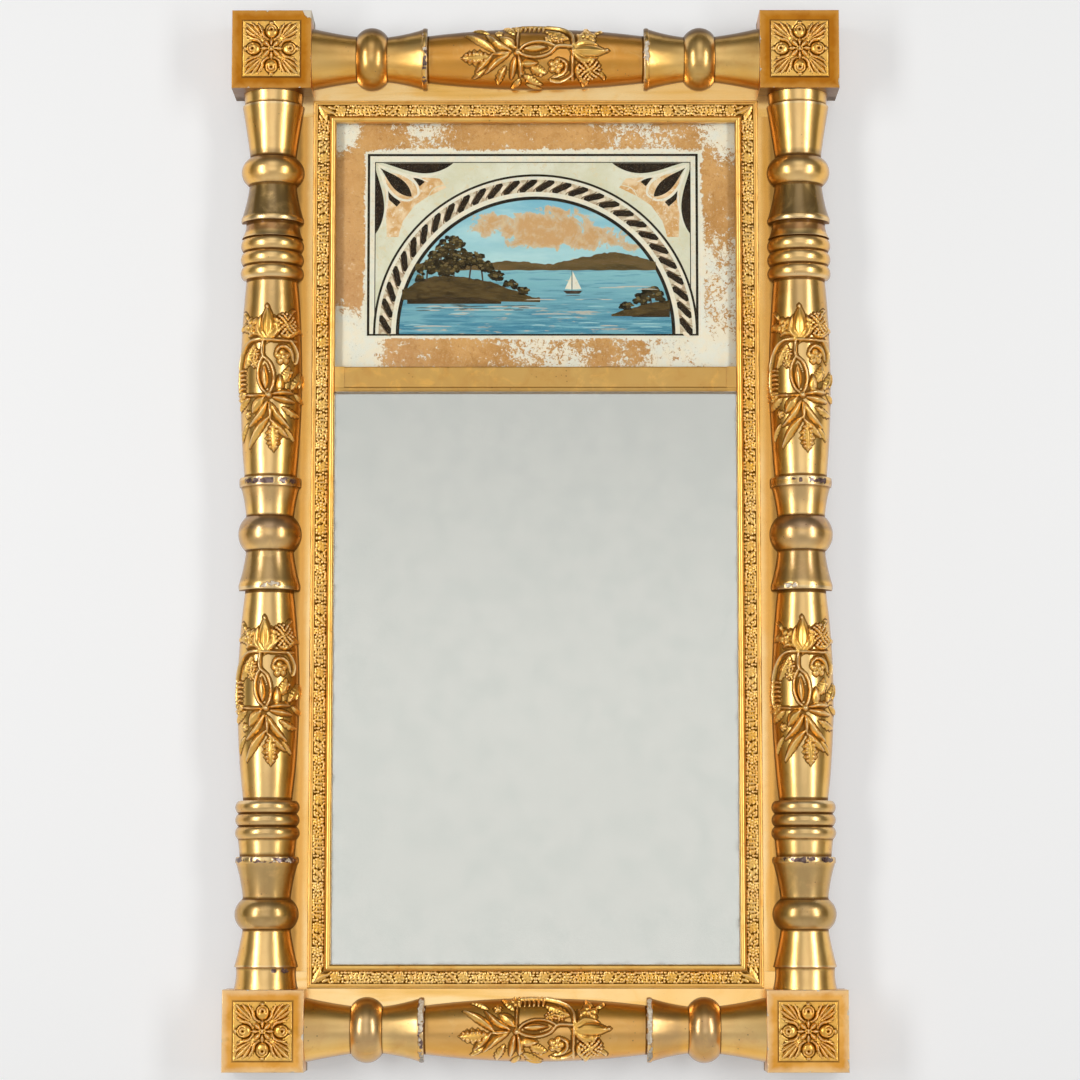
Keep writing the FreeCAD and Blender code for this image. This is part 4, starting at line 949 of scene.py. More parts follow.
def cast_rosettes(material):
    low, high = box_mm("rosette_top_left")
    f = rosette_relief((high[0] - low[0]) / 2)
    # the low ground between the shapes is marked hollower still, for more painted shade and grime there
    hollow = from_zero_to_one(f.hollow(4, 1.4) - 0.28 * step_between(0.5, 0.0, f.h))
    front = ROSETTE_GROUND + f.h * ((high[1] - low[1] - ROSETTE_GROUND) / f.h.max())
    _, index, quads = sheet_faces(np.ones(f.h.shape, bool))
    ring = [*index[:, 0], *index[-1, 1:], *index[-2::-1, -1], *index[0, -2:0:-1]]
    rear = list(range(f.h.size, f.h.size + len(ring)))
    faces = [*quads.tolist(), *zip(ring, ring[1:] + ring[:1], rear[1:] + rear[:1], rear), rear]
    marks = np.append(hollow, np.full(len(ring), 0.5))
    for end, up in ENDS.items():
        for side, out in SIDES.items():
            node = f"rosette_{end}_{side}"
            back = box_mm(node)[1][1]
            top = [middle_of(node, 0) + f.X * up * out, back - front, middle_of(node, 2) + f.Y]
            top = np.stack(top, -1).reshape(-1, 3)
            foot = top[ring]
            foot[:, 1] = back
            new_piece("cast_" + node, np.vstack([top, foot]), faces, [material], node,
                      60, {"hollow": marks})


def frieze_unit(period, w):
    """One repeat of the moulding's foliage: a flower, a slanting leaf, berries, tongues and a knob.

    x runs along the moulding from 0 to period, y across it from the bead (0) to the lip (w)."""
    f = Relief(0, period, 0, w, period / round(period / 0.42), moat=0.5)
    k = period / 53.0
    generator = np.random.default_rng(53)
    for column in range(22):
        for row in range(4):
            x, y = generator.uniform(-0.5, 0.5, 2)
            f.berry(period * (column + 0.5 + 0.7 * x) / 22, w * (0.14 + 0.24 * row + 0.12 * y),
                    w * generator.uniform(0.07, 0.12), generator.uniform(0.55, 0.95))
    f.blossom(6.6 * k, w * 0.5, w * 0.43, 1.35, 0.4)
    f.leaves((11.5 * k, w * 0.12, 15.5 * k, w * 0.5, 20.5 * k, w * 0.9, w * 0.2, 1.35, 0, 0, 0.25, 0.8),
             (11.2 * k, w * 0.9, 12.6 * k, w * 0.75, 15.2 * k, w * 0.88, w * 0.12, 1.0, 0, 0, 0.2),
             (17.6 * k, w * 0.14, 20.0 * k, w * 0.22, 22.0 * k, w * 0.55, w * 0.13, 1.15, 0, 0, 0.2))
    for n in range(3):
        f.berry((23.4 + 2.5 * n) * k, w * (0.28 + 0.05 * (n % 2)), w * 0.125, 1.2)
        f.berry((24.6 + 2.5 * n) * k, w * 0.52, w * 0.125, 1.35)
        f.berry((23.4 + 2.6 * n) * k, w * (0.77 - 0.04 * (n % 2)), w * 0.12, 1.15)
    spiral = ((31.5, 0.86), (34.6, 0.80), (36.4, 0.45), (34.2, 0.16), (32.0, 0.34), (33.4, 0.54))
    f.line([(x * k, y * w) for x, y in spiral], w * 0.085, 1.2)
    f.knob(33.7 * k, w * 0.5, w * 0.13, w * 0.13, 1.4)
    for x in (39.2 * k, 42.7 * k, 46.2 * k):
        f.leaves((x, w * 0.10, x + 0.5, w * 0.5, x - 0.2, w * 0.92, w * 0.16, 1.3, 0, 0, 0.25, 0.9))
    f.knob(50.2 * k, w * 0.5, w * 0.2, w * 0.27, 1.45)
    f.berry(49.0 * k, w * 0.14, w * 0.1, 1.1)
    f.berry(51.2 * k, w * 0.88, w * 0.1, 1.1)
    f.h = softened(f.h)
    return f


FRIEZE_GROUND = 0.62
FRIEZE_TALLEST = 1.75
CORNER_REACH = 17


def corner_leaf(width):
    """The leaf that covers a mitre, from the corner (0) inwards."""
    f = Relief(0, CORNER_REACH, 0, width, 0.45)
    f.leaves((0.8, 0.6, 6.0, width * 0.42, 15.0, width * 0.72, 3.4, 1.3, 6, 0.2, 0.4),
             (9.0, width * 0.12, 12.5, width * 0.3, 16.2, width * 0.35, 1.7, 1.0, 0, 0, 0.2))
    return softened(f.h)


def cast_run(spot, material):
    """Cast foliage along one mitred length of the sight moulding."""
    node = "relief_run_" + spot
    low, high = box_mm(node)
    upright = spot in SIDES
    along, across = (2, 0) if upright else (0, 2)
    width, half = high[across] - low[across], (high[along] - low[along]) / 2
    period = 2 * half / (14 if upright else 7)
    f = frieze_unit(period, width)
    A, B = np.meshgrid(np.linspace(-half, half, round(2 * half / 0.45) + 1),
                       np.linspace(0, width, max(12, round(width / 0.42)) + 1), indexing="ij")
    from_mitre = half - np.abs(A)
    # the foliage is mirrored about the middle, so that both mitres match
    gx, gy = np.mod(np.abs(A), period) / period * (len(f.x) - 1), B / width * (len(f.y) - 1)
    ix, iy = np.clip(gx.astype(int), 0, len(f.x) - 2), np.clip(gy.astype(int), 0, len(f.y) - 2)
    tx, ty = gx - ix, gy - iy
    h = (f.h[ix, iy] * (1 - tx) * (1 - ty) + f.h[ix + 1, iy] * tx * (1 - ty)
         + f.h[ix, iy + 1] * (1 - tx) * ty + f.h[ix + 1, iy + 1] * tx * ty)
    leaf = corner_leaf(width)
    rows, columns = leaf.shape
    cu = np.clip(from_mitre / CORNER_REACH * (rows - 1), 0, rows - 1.001).astype(int)
    cv = np.clip(B / width * (columns - 1), 0, columns - 1.001).astype(int)
    corner = step_between(16.0, 13.0, from_mitre)
    h = np.maximum(h * (1 - corner) + leaf[cu, cv] * corner, 0)
    # hollows, and the low ground between shapes most of all, are marked for the gilding's painted shade and
    # grime
    hollow = from_zero_to_one(0.5 + (h - softened(h, 6)) / 0.75)
    hollow = from_zero_to_one(hollow - 0.3 * step_between(0.35, 0.0, h))
    h = h + (layered(A * 0.8, B * 0.8, 3, 2) - 0.5) * 0.1
    deepest = high[1] - low[1] - FRIEZE_GROUND
    front = high[1] - FRIEZE_GROUND - np.clip(h * (deepest / FRIEZE_TALLEST), 0, deepest)
    cross = low[across] + B if spot in ("left", "bottom") else high[across] - B
    place = np.clip(A, B - half, half - B) + (middle_of(node, 2) if upright else 0.0)
    needed, _, quads = sheet_faces(from_mitre >= B - 0.46)
    top = np.stack([cross, front, place] if upright else [place, front, cross], -1)[needed]
    under = top.copy()
    under[:, 1] = high[1]
    verts, faces = closed_sheet(top, under, quads)
    new_piece("cast_" + node, verts, faces, [material], node, 60,
              {"hollow": [hollow[needed]] * 2})


# The picture on the tablet, in millimetres from the middle of the arch's foot: x right and z up

FOOT_Z = MID_Z + 177.2
LINE_LEFT, LINE_RIGHT, LINE_TOP = -147.0, 142.0, 159.8
ARCH_OUT, ARCH_IN = 141.6, 118.8
ROPE_OUT, ROPE_IN = 136.9, 125.9
STRANDS = 28
STRAND_LEAN = 0.0775
# a pale oval's distance from the arch's middle and its half height, then its half width and lean in radians
OVAL_MIDDLE, OVAL_HALF, OVAL_ACROSS, OVAL_LEAN = 131.3, 3.3, 0.0165, 0.014
FILM_INSET = 0.35

HILLS = [(-110, 60), (-84, 66), (-52, 62), (-20, 65), (10, 61), (38, 67), (66, 73), (88, 69), (110, 61)]
NEAR_HILLS = [(30, 55), (52, 60.5), (72, 62), (92, 58), (106, 55.5)]
POINT = [(-116, 38), (-102, 47), (-86, 52), (-60, 50), (-38, 46), (-18, 38), (-6, 33.5), (2, 31.5)]
# each trunk is its foot's x and z, its height and its lean
TRUNKS = [(-84, 48, 24, 2), (-71, 48, 28, -3), (-58, 47, 20, 3), (-46, 46, 15, -2), (-95, 46, 14, 1),
          (101, 25, 12, -2)]
# each clump of leaves is its middle and its two half widths
CLUMPS = [(-86, 70, 11, 8), (-74, 78, 12, 9), (-66, 66, 12, 8), (-54, 66, 9, 6.5), (-44, 59, 8, 5),
          (-97, 60, 9, 7), (-104, 51, 7, 5), (-34, 51, 7, 4), (-22, 43.5, 6, 3), (-11, 38, 4.5, 2.4),
          (-80, 57, 16, 5), (101, 36, 7, 5.5), (92, 30, 7, 4), (109, 33, 6, 4.5), (80, 24.5, 6, 2.8)]
# the dabs' tone, number, spread and size, and how far they lie up (as a share of the clump) and right
LEAVES = [("leaf_dark", 26, 1.0, 2.7, 0, 0), ("leaf_mid", 16, 0.8, 2.0, 0.15, 0),
          ("leaf_pale", 9, 0.7, 1.3, 0.3, 1.2)]


def polar(radius, angle):
    return radius * math.cos(angle), radius * math.sin(angle)


def half_disc(radius):
    return [polar(radius, a) for a in np.linspace(0, math.pi, 120)]


def rectangle(x0, z0, x1, z1):
    return [(x0, z0), (x1, z0), (x1, z1), (x0, z1)]


def along_line(points, finest, width):
    """The outline of a shape along a smooth line; width gives its width from end (0) to end (1)."""
    path = smooth_line(points)
    path = path[:: max(1, len(path) // finest)]
    direction, half = headings(path), width(np.linspace(0, 1, len(path)))[:, None] / 2
    side = np.stack([-direction[:, 1], direction[:, 0]], 1) * half
    return [*map(tuple, path + side), *map(tuple, (path - side)[::-1])]


def stroke(points, width, ends=0.15):
    """A brush stroke, thinner at its ends."""
    return along_line(points, 40, lambda t: width * (ends + (1 - ends) * np.sin(np.pi * t) ** 0.4))


def petal(points, width, fat):
    """A drop-shaped petal, fattest past its middle."""
    return along_line(points, 30, lambda t: width * (np.sin(np.pi * t**fat) ** 0.8 + 0.02))


def dab(cx, cz, size, seed):
    """An uneven spot of paint."""
    spot = [polar(size * (0.65 + 0.6 * hashed(i, seed, seed=3)), 2 * math.pi * i / 9) for i in range(9)]
    return [(cx + x, cz + z * 0.72) for x, z in spot]


def rolling(x0, x1, base, skyline, count, rough, seed):
    """Land between a base level and a smooth skyline through the given points, a little ragged."""
    xs = np.linspace(x0, x1, count)
    top = np.interp(xs, *zip(*skyline))
    top = np.convolve(np.pad(top, 3, mode="edge"), np.ones(7) / 7, mode="valid")
    top = top + (layered(xs * 0.35, xs * 0, seed) - 0.5) * 2 * rough
    return [(x0, base), *zip(xs, top), (x1, base)]


def corner_leaves(side):
    """Dark leaves that spring from an upper corner, each edged in cream; side is -1 at the left."""
    x0 = (LINE_LEFT if side < 0 else LINE_RIGHT) - side * 7.0
    z0 = LINE_TOP - 8.0

    def at(*points):
        return [(x0 - side * u, z0 - v) for u, v in points]

    upper = [(u, 9.4 * math.sin(math.pi * ((u - 6) / 62) ** 1.35) ** 0.8) for u in np.linspace(9, 65, 20)]
    outer = [(7.6 * math.sin(math.pi * ((v - 6) / 57) ** 1.3) ** 0.8, v) for v in np.linspace(9, 60, 20)]
    crease = [(74, 12), (62, 19), (52, 24), (44, 33), (34, 42), (29, 52), (22, 60), (19, 70)]
    crease = [(u + 1.3 * math.sin(i * 2.1), v + 1.1 * math.cos(i * 1.7)) for i, (u, v) in enumerate(crease)]
    return [
        (at((8, 8), (30, 12), (56, 14), (62, 22), (46, 30), (34, 38), (24, 52), (20, 66), (10, 66),
            (9, 40)), "peach"),
        (at((6, 3.5), (24, 9.5), (37, 11.5), (43, 17), (38.5, 21), (33, 13.5), (20, 9)), "petal"),
        (at((4, 7), (9, 22), (12, 33), (18.5, 39), (22, 35), (15, 29), (9.5, 18)), "petal"),
        (at((6, 0.2), *upper, (68, 0.2)), "petal"),
        (at((0.2, 6), *outer, (0.2, 63)), "petal"),
        (stroke(at((2, 1.5), (18, 8), (38, 12.4), (58, 9.0)), 2.0, 0.3), "cream"),
        (stroke(at((2, 3), (8.5, 18), (10, 36), (5, 58)), 2.0, 0.3), "cream"),
        (stroke(at((3, 3), (20, 8.5), (34, 17), (37.5, 27), (33, 32)), 2.4, 0.4), "cream"),
        (stroke(at((3, 4), (9, 20), (18, 30.5), (27, 33.5), (33, 32)), 2.4, 0.4), "cream"),
        (petal(at((4, 4.5), (17, 16.5), (32, 30.5)), 10.5, 1.5), "petal"),
        (stroke(at((26, 13), (36, 13), (46, 17)), 1.2, 0.3), "cream"),
        (stroke(at((112, 2.5), (92, 6.5), *crease), 0.7, 0.5), "wash"),
    ]


def rope():
    """A twisted rope round the arch: thick dark slanting strands between pale ovals."""
    shapes = []
    for n in range(STRANDS):
        middle = math.pi * (1 - (n + 0.55) / STRANDS)
        for shift, thick, key in ((0.0, 0.074, "petal"), (0.037, 0.012, "umber")):
            left, right = [], []
            for v in np.linspace(0, 1, 15):
                a = middle + shift - STRAND_LEAN * (step_between(0.0, 1.0, v) - 0.5)
                half = thick / 2 * (0.3 + 0.7 * math.sin(math.pi * min(max(v, 0.03), 0.97)) ** 0.6)
                r = ROPE_IN + (ROPE_OUT - ROPE_IN) * v
                left.append(polar(r, a + half))
                right.append(polar(r, a - half))
            shapes.append((left + right[::-1], key))
        between = middle - math.pi / STRANDS / 2
        oval = []
        for t in (2 * math.pi * i / 16 for i in range(16)):
            a = between + OVAL_ACROSS * math.cos(t) - OVAL_LEAN * math.sin(t)
            oval.append(polar(OVAL_MIDDLE + OVAL_HALF * math.sin(t), a))
        shapes.append((oval, "rope_pale"))
    return shapes


def landscape():
    """A quiet lake scene of no particular place: a wooded point, a low bank and a small boat."""
    surface = [(x, 56.2 + 0.25 * math.sin(x * 0.31)) for x in np.linspace(104.5, -104.5, 60)]
    shore = [p for p in half_disc(ARCH_IN) if p[1] < 56.0]
    point = rolling(-116.5, 4, 27, POINT, 70, 1.0, 7)
    point[0], point[-1] = (-116.5, 30), (4, 28)
    shapes = [
        (half_disc(ARCH_IN), "sky"),
        (rolling(-105, 105, 54, HILLS, 90, 1.2, 2), "hills"),
        (rolling(34, 104, 53, NEAR_HILLS, 50, 0.8, 5), "hills_near"),
        ([p for p in shore if p[0] > 0] + surface + [p for p in shore if p[0] < 0], "water"),
        (point, "land"),
        (rolling(-112, -30, 26.5, [(-112, 30), (-80, 33), (-50, 32), (-30, 28.5)], 40, 1.0, 9), "bank"),
        (rolling(66, 117, 15.5, [(66, 17), (80, 22), (98, 27), (117, 30)], 40, 0.8, 11), "land"),
        (rolling(84, 117, 14.8, [(84, 16), (100, 19), (117, 22)], 30, 0.8, 13), "bank"),
    ]
    for x, z, tall, lean in TRUNKS:
        trunk = stroke([(x, z), (x + lean * 0.4, z + tall * 0.5), (x + lean, z + tall)], 1.5, 0.5)
        shapes.append((trunk, "bark"))
    seed = 0
    for key, count, spread, size, lift, aside in LEAVES:
        for cx, cz, rx, rz in CLUMPS:
            for _ in range(int(count * (rx * rz) / 70) + 3):
                seed += 1
                u, v = polar(spread * math.sqrt(hashed(seed, 2)), 2 * math.pi * hashed(seed, 1))
                x, z = cx + rx * u + aside, cz + rz * (v + lift)
                if math.hypot(x, z) <= ARCH_IN - 3.5:
                    shapes.append((dab(x, z, size * (0.7 + 0.6 * hashed(seed, 4)), seed), key))

    def ripple(x, z, long, clear, rise, width, key):
        if abs(x) <= math.sqrt(ARCH_IN**2 - z * z) - clear:
            shapes.append((stroke([(x - long, z), (x, z + rise), (x + long, z)], width, 0.1), key))

    for n in range(46):
        x, z = -108 + 216 * hashed(n, 21), 5 + 44 * hashed(n, 22) ** 1.2
        on_land = (x < 4 and 24 < z) or (x > 60 and 14 < z < 30)
        if not on_land:
            key = ("ripple", "ripple_pale", "ripple_warm")[n % 3]
            ripple(x, z, 5 + 13 * hashed(n, 23), 14, 0.3, 0.9, key)
    for n in range(26):
        key = ("shade", "ripple_warm", "shade")[n % 3]
        x, z = -108 + 112 * hashed(n, 31), 25.5 - 5.5 * hashed(n, 32)
        ripple(x, z, 4 + 8 * hashed(n, 33), 13, 0.2, 1.0, key)
    # a small sailing boat
    return shapes + [
        ([(24, 38.2), (41, 38.2), (38.2, 35.4), (27, 35.4)], "bark"),
        ([(32.2, 39.2), (32.2, 55.5), (40.0, 39.6)], "cream"),
        ([(31.2, 39.2), (31.2, 52.0), (25.6, 39.8)], "sail"),
        (stroke([(31.7, 38), (31.8, 47), (31.7, 56.5)], 0.6, 0.6), "bark"),
        (stroke([(26, 33.6), (32, 34.0), (39, 33.6)], 0.9, 0.2), "shade"),
    ]


def picture_shapes():
    """Everything painted over the border, each shape with its paint; later shapes lie on earlier ones."""
    x0, x1, z1 = LINE_LEFT, LINE_RIGHT, LINE_TOP
    return [
        (rectangle(x0 - 1.7, -3.6, x1 + 1.7, z1 + 1.7), "cream"),
        (rectangle(x0, -1.6, x1, z1), "line"),
        (rectangle(x0 + 2.2, 0.0, x1 - 2.2, z1 - 2.1), "cream"),
        (rectangle(x0 + 6.4, 0.0, x1 - 6.4, z1 - 7.2), "line"),
        (rectangle(x0 + 7.2, 0.0, x1 - 7.2, z1 - 8.0), "wash"),
        *corner_leaves(-1),
        *corner_leaves(1),
        (half_disc(ARCH_OUT), "line"),
        (half_disc(ARCH_OUT - 2.0), "cream"),
        (half_disc(ROPE_OUT), "rope_ground"),
        *rope(),
        (half_disc(125.8), "cream"),
        (half_disc(ARCH_IN + 3.0), "line"),
        *landscape(),
    ]


# Paints

CREAM = (0.704, 0.607, 0.466)
CREAM_COOL = (0.625, 0.59, 0.493)
PEACH = (0.546, 0.286, 0.099)
PEACH_DEEP = (0.414, 0.198, 0.058)
DULL = {"Specular_IOR_Level": 0.1}
PAINT_GRAIN = (0.00005, 0.5)
# the scale of each paint's tones, or its scale up and across where they are drawn out, then its tones
PAINTS = {
    "cream": (130, CREAM, CREAM_COOL, (0.598, 0.475, 0.308)),
    "wash": (45, (0.616, 0.581, 0.458), (0.554, 0.51, 0.361), (0.598, 0.493, 0.317)),
    "peach": (95, PEACH, (0.686, 0.493, 0.299), CREAM),
    "rope_ground": (210, (0.581, 0.493, 0.352), (0.37, 0.246, 0.15), (0.651, 0.546, 0.387)),
    "rope_pale": (240, CREAM, (0.669, 0.51, 0.352), (0.704, 0.634, 0.458)),
    "line": (300, (0.011, 0.007, 0.004), (0.025, 0.016, 0.008)),
    "petal": (300, (0.011, 0.007, 0.004), (0.026, 0.015, 0.007), (0.079, 0.044, 0.021)),
    "umber": (220, (0.114, 0.066, 0.031), (0.185, 0.106, 0.053)),
    "hills": ((220, 40), (0.088, 0.055, 0.019), (0.132, 0.079, 0.028)),
    "hills_near": ((240, 50), (0.066, 0.044, 0.016), (0.106, 0.066, 0.023)),
    "land": ((260, 60), (0.048, 0.03, 0.009), (0.097, 0.058, 0.018), (0.022, 0.014, 0.004)),
    "bank": ((260, 50), (0.026, 0.016, 0.006), (0.053, 0.031, 0.012)),
    "leaf_dark": (300, (0.012, 0.008, 0.003), (0.025, 0.016, 0.005)),
    "leaf_mid": (300, (0.033, 0.023, 0.007), (0.053, 0.033, 0.011)),
    "leaf_pale": (300, (0.106, 0.075, 0.026), (0.15, 0.097, 0.032)),
    "bark": (300, (0.04, 0.025, 0.016), (0.07, 0.044, 0.026)),
    "sail": (200, (0.651, 0.563, 0.414), (0.704, 0.634, 0.493)),
    "ripple": (200, (0.048, 0.176, 0.264), (0.079, 0.238, 0.317)),
    "ripple_pale": (200, (0.264, 0.44, 0.466), (0.317, 0.475, 0.484)),
    "ripple_warm": (200, (0.493, 0.387, 0.282), (0.405, 0.405, 0.37)),
    "shade": (200, (0.07, 0.10, 0.10), (0.10, 0.14, 0.14)),
}


def paint_patch(key, scale, *tones):
    """Old paint: two tones in a noise, perhaps spots of a third, and a few dark specks."""
    p = Paint("painted_" + key)
    if isinstance(scale, tuple):
        tone, spot_scale = p.streaks("z", *scale, 4, 0.62, 0.3), 73.1
    else:
        tone, spot_scale = p.noise(scale, 4, 0.62, 0.3), scale * 3.1 + 70
    p.color = p.mix(p.over(0.35, 0.65, tone), *tones[:2])
    if len(tones) > 2:
        p.cover(p.over(0.56, 0.62, p.noise(spot_scale, 4, 0.7, 0.5)) * 0.7, tones[2])
    p.cover(p.over(0.16, 0.10, p.cells(420)) * p.over(0.5, 0.6, p.noise(50)) * 0.3, (0.10, 0.07, 0.05))
    rough = 0.4 if key in ("line", "petal") else 0.5
    p.rough = p.blend(tone, rough, rough + 0.2)
    return p.finish(Normal=p.bump(tone, *PAINT_GRAIN), **DULL)


def picture_place(p):
    """The picture's own x and z in millimetres."""
    return p.x * (1 / MM), p.z * (1 / MM) - FOOT_Z


def flaking_border():
    """Faded peach paint that has flaked to a cream ground, most at the corners and the line."""
    p = Paint("painted_border")
    x, z = picture_place(p)
    out_x = abs(x - (LINE_LEFT + LINE_RIGHT) / 2) - (LINE_RIGHT - LINE_LEFT) / 2
    out_z = abs(z - LINE_TOP / 2) - LINE_TOP / 2
    bias = p.over(6.5, 1.0, p.most(out_x, out_z)) * 0.17
    for cx, cz, reach, amount in (
            (-172, 180, 34, 0.30), (-176, -16, 60, 0.30), (172, 176, 46, 0.17), (160, 60, 60, 0.10),
            (-96, 176, 40, 0.10), (10, -26, 60, 0.10), (120, -24, 70, 0.13), (168, -10, 50, 0.12),
            (90, 180, 60, 0.07)):
        dx, dz = x - cx, z - cz
        bias = bias + p.over(reach, reach * 0.15, p.math("SQRT", dx * dx + dz * dz)) * amount
    bias = bias - p.over(-130, -160, x) * p.over(20, 60, z) * 0.07
    small = p.noise(300, 5, 0.78, 0.6)
    flake = p.noise(30, 5, 0.7, 0.6) * 0.42 + small * 0.58 + bias
    bare = p.over(0.588, 0.598, flake)
    p.color = p.mix(p.over(0.35, 0.68, p.noise(34, 4, 0.6)), PEACH, PEACH_DEEP)
    p.cover(p.over(0.5, 0.7, p.noise(330, 3, 0.7)) * 0.35, (0.625, 0.387, 0.176))
    p.cover(p.over(-60, -170, x + z * 0.5) * 0.45, (0.528, 0.29, 0.145))
    scuffed = small * 0.6 + p.noise(110, 4, 0.7, 0.5) * 0.4
    p.cover(p.over(0.56, 0.66, scuffed) * 0.7, (0.686, 0.51, 0.326))
    p.cover(p.over(0.44, 0.36, small) * 0.5, (0.317, 0.141, 0.044))
    p.cover(p.over(0.545, 0.60, flake) * 0.35, (0.651, 0.458, 0.273))
    p.cover(bare, p.mix(p.over(0.4, 0.62, p.noise(90, 4, 0.7)), CREAM, (0.66, 0.616, 0.528)))
    p.cover(p.over(0.565, 0.585, flake) * p.over(0.60, 0.588, flake) * 0.45, (0.264, 0.141, 0.07))
    p.cover(p.over(0.15, 0.09, p.cells(430)) * p.over(0.46, 0.58, p.noise(40)) * 0.8, (0.106, 0.07, 0.044))
    p.rough = p.blend(bare, 0.45, 0.7)
    return p.finish(Normal=p.bump(bare, 0.00006, 0.6), **DULL)


def sky_paint():
    """Blue sky, paler low down, with soft peach clouds."""
    p = Paint("painted_sky")
    x, z = picture_place(p)
    p.color = p.mix(p.over(58, 118, z, soft=False), (0.326, 0.502, 0.51), (0.176, 0.387, 0.475))
    p.cover(p.over(0.4, 0.7, p.streaks("z", 60, 18)) * 0.55, (0.44, 0.598, 0.581))
    bias = 0.0
    for cx, cz, rx, rz, amount in ((6, 92, 46, 17, 0.26), (-34, 96, 30, 12, 0.18), (48, 84, 34, 12, 0.22),
                                   (20, 106, 30, 8, 0.12), (76, 78, 18, 6, 0.14)):
        dx, dz = (x - cx) * (1 / rx), (z - cz) * (1 / rz)
        bias = p.most(bias, p.over(1.5, 0.1, dx * dx + dz * dz) * amount)
    billow = p.noise(70, 5, 0.66, 0.5) * 0.75 + p.noise(260, 4, 0.7) * 0.25
    cloud = billow + bias
    warm = p.mix(p.over(0.64, 0.78, cloud), (0.51, 0.378, 0.238), (0.502, 0.282, 0.119))
    warm = p.mix(p.over(0.5, 0.68, p.noise(190, 4, 0.7)) * 0.5, warm, (0.581, 0.414, 0.238))
    p.cover(p.over(0.60, 0.645, cloud), warm)
    p.cover(p.over(0.15, 0.10, p.cells(520)) * p.over(0.48, 0.6, p.noise(60)) * 0.4, (0.194, 0.141, 0.106))
    p.rough = 0.55
    return p.finish(Normal=p.bump(billow, *PAINT_GRAIN), **DULL)


def water_paint():
    """Lake water in level strokes, pale far off and deeper near."""
    p = Paint("painted_water")
    _, z = picture_place(p)
    strokes = p.streaks("z", 420, 26, 4, 0.62)
    p.color = p.mix(p.over(56, 4, z, soft=False), (0.202, 0.396, 0.422), (0.057, 0.194, 0.273))
    p.cover(p.over(0.45, 0.62, strokes) * 0.75, (0.185, 0.37, 0.414))
    p.cover(p.over(0.44, 0.34, strokes) * 0.5, (0.031, 0.132, 0.211))
    glints = p.over(0.60, 0.66, p.streaks("z", 300, 34, 4, 0.65))
    p.cover(glints * p.over(34, 20, z) * 0.6, (0.581, 0.414, 0.273))
    return p.finish(Normal=p.bump(strokes, *PAINT_GRAIN), **DULL)


def painted_film():
    """The paint on the back of the tablet glass, as one flat sheet cut along its painted edges."""
    paints = {"border": flaking_border(), "sky": sky_paint(), "water": water_paint()}
    paints.update({key: paint_patch(key, *row) for key, row in PAINTS.items()})
    kinds = {key: index for index, key in enumerate(paints)}
    low, high = box_mm("tablet_painting")
    sheet = rectangle(low[0] + FILM_INSET, low[2] + FILM_INSET - FOOT_Z,
                      high[0] - FILM_INSET, high[2] - FILM_INSET - FOOT_Z)
    shapes = [(sheet, "border"), *picture_shapes()]
    coords, loops = [], []
    for points, _ in shapes:
        area = sum(a[0] * b[1] - b[0] * a[1] for a, b in zip(points, points[1:] + points[:1]))
        loops.append(list(range(len(coords), len(coords) + len(points))))
        coords += [Vector(p) for p in (points if area > 0 else points[::-1])]
    verts, _, cut, _, _, origin = geometry.delaunay_2d_cdt(coords, [], loops, 1, 1e-4)
    kept = [(tuple(face), kinds[shapes[max(above)][1]]) for face, above in zip(cut, origin) if above]
    faces, slots = map(list, zip(*kept))
    edges = {edge for face in faces for edge in zip(face, face[1:] + face[:1])}
    after = {a: b for a, b in edges if (b, a) not in edges}
    rim = [min(after)]
    while after[rim[-1]] != rim[0]:
        rim.append(after[rim[-1]])
    points = [(x, low[1], z + FOOT_Z) for x, z in verts]
    rear = list(range(len(points), len(points) + len(rim)))
    points += [(points[i][0], high[1], points[i][2]) for i in rim]
    faces += list(zip(rim[1:] + rim[:1], rim, rear, rear[1:] + rear[:1]))
    faces.append(rear[::-1])
    slots += [kinds["border"]] * (len(rim) + 1)
    new_piece("painted_film", points, faces, paints.values(), "tablet_painting", 30,
              slots=slots)


# Finishes for the nodes that stay, and the finer pieces that stand for others


def dress(name, material, smoothed=False):
    mesh = nodes[name].data
    mesh.materials.clear()
    mesh.materials.append(material)
    if smoothed:
        smooth(mesh)


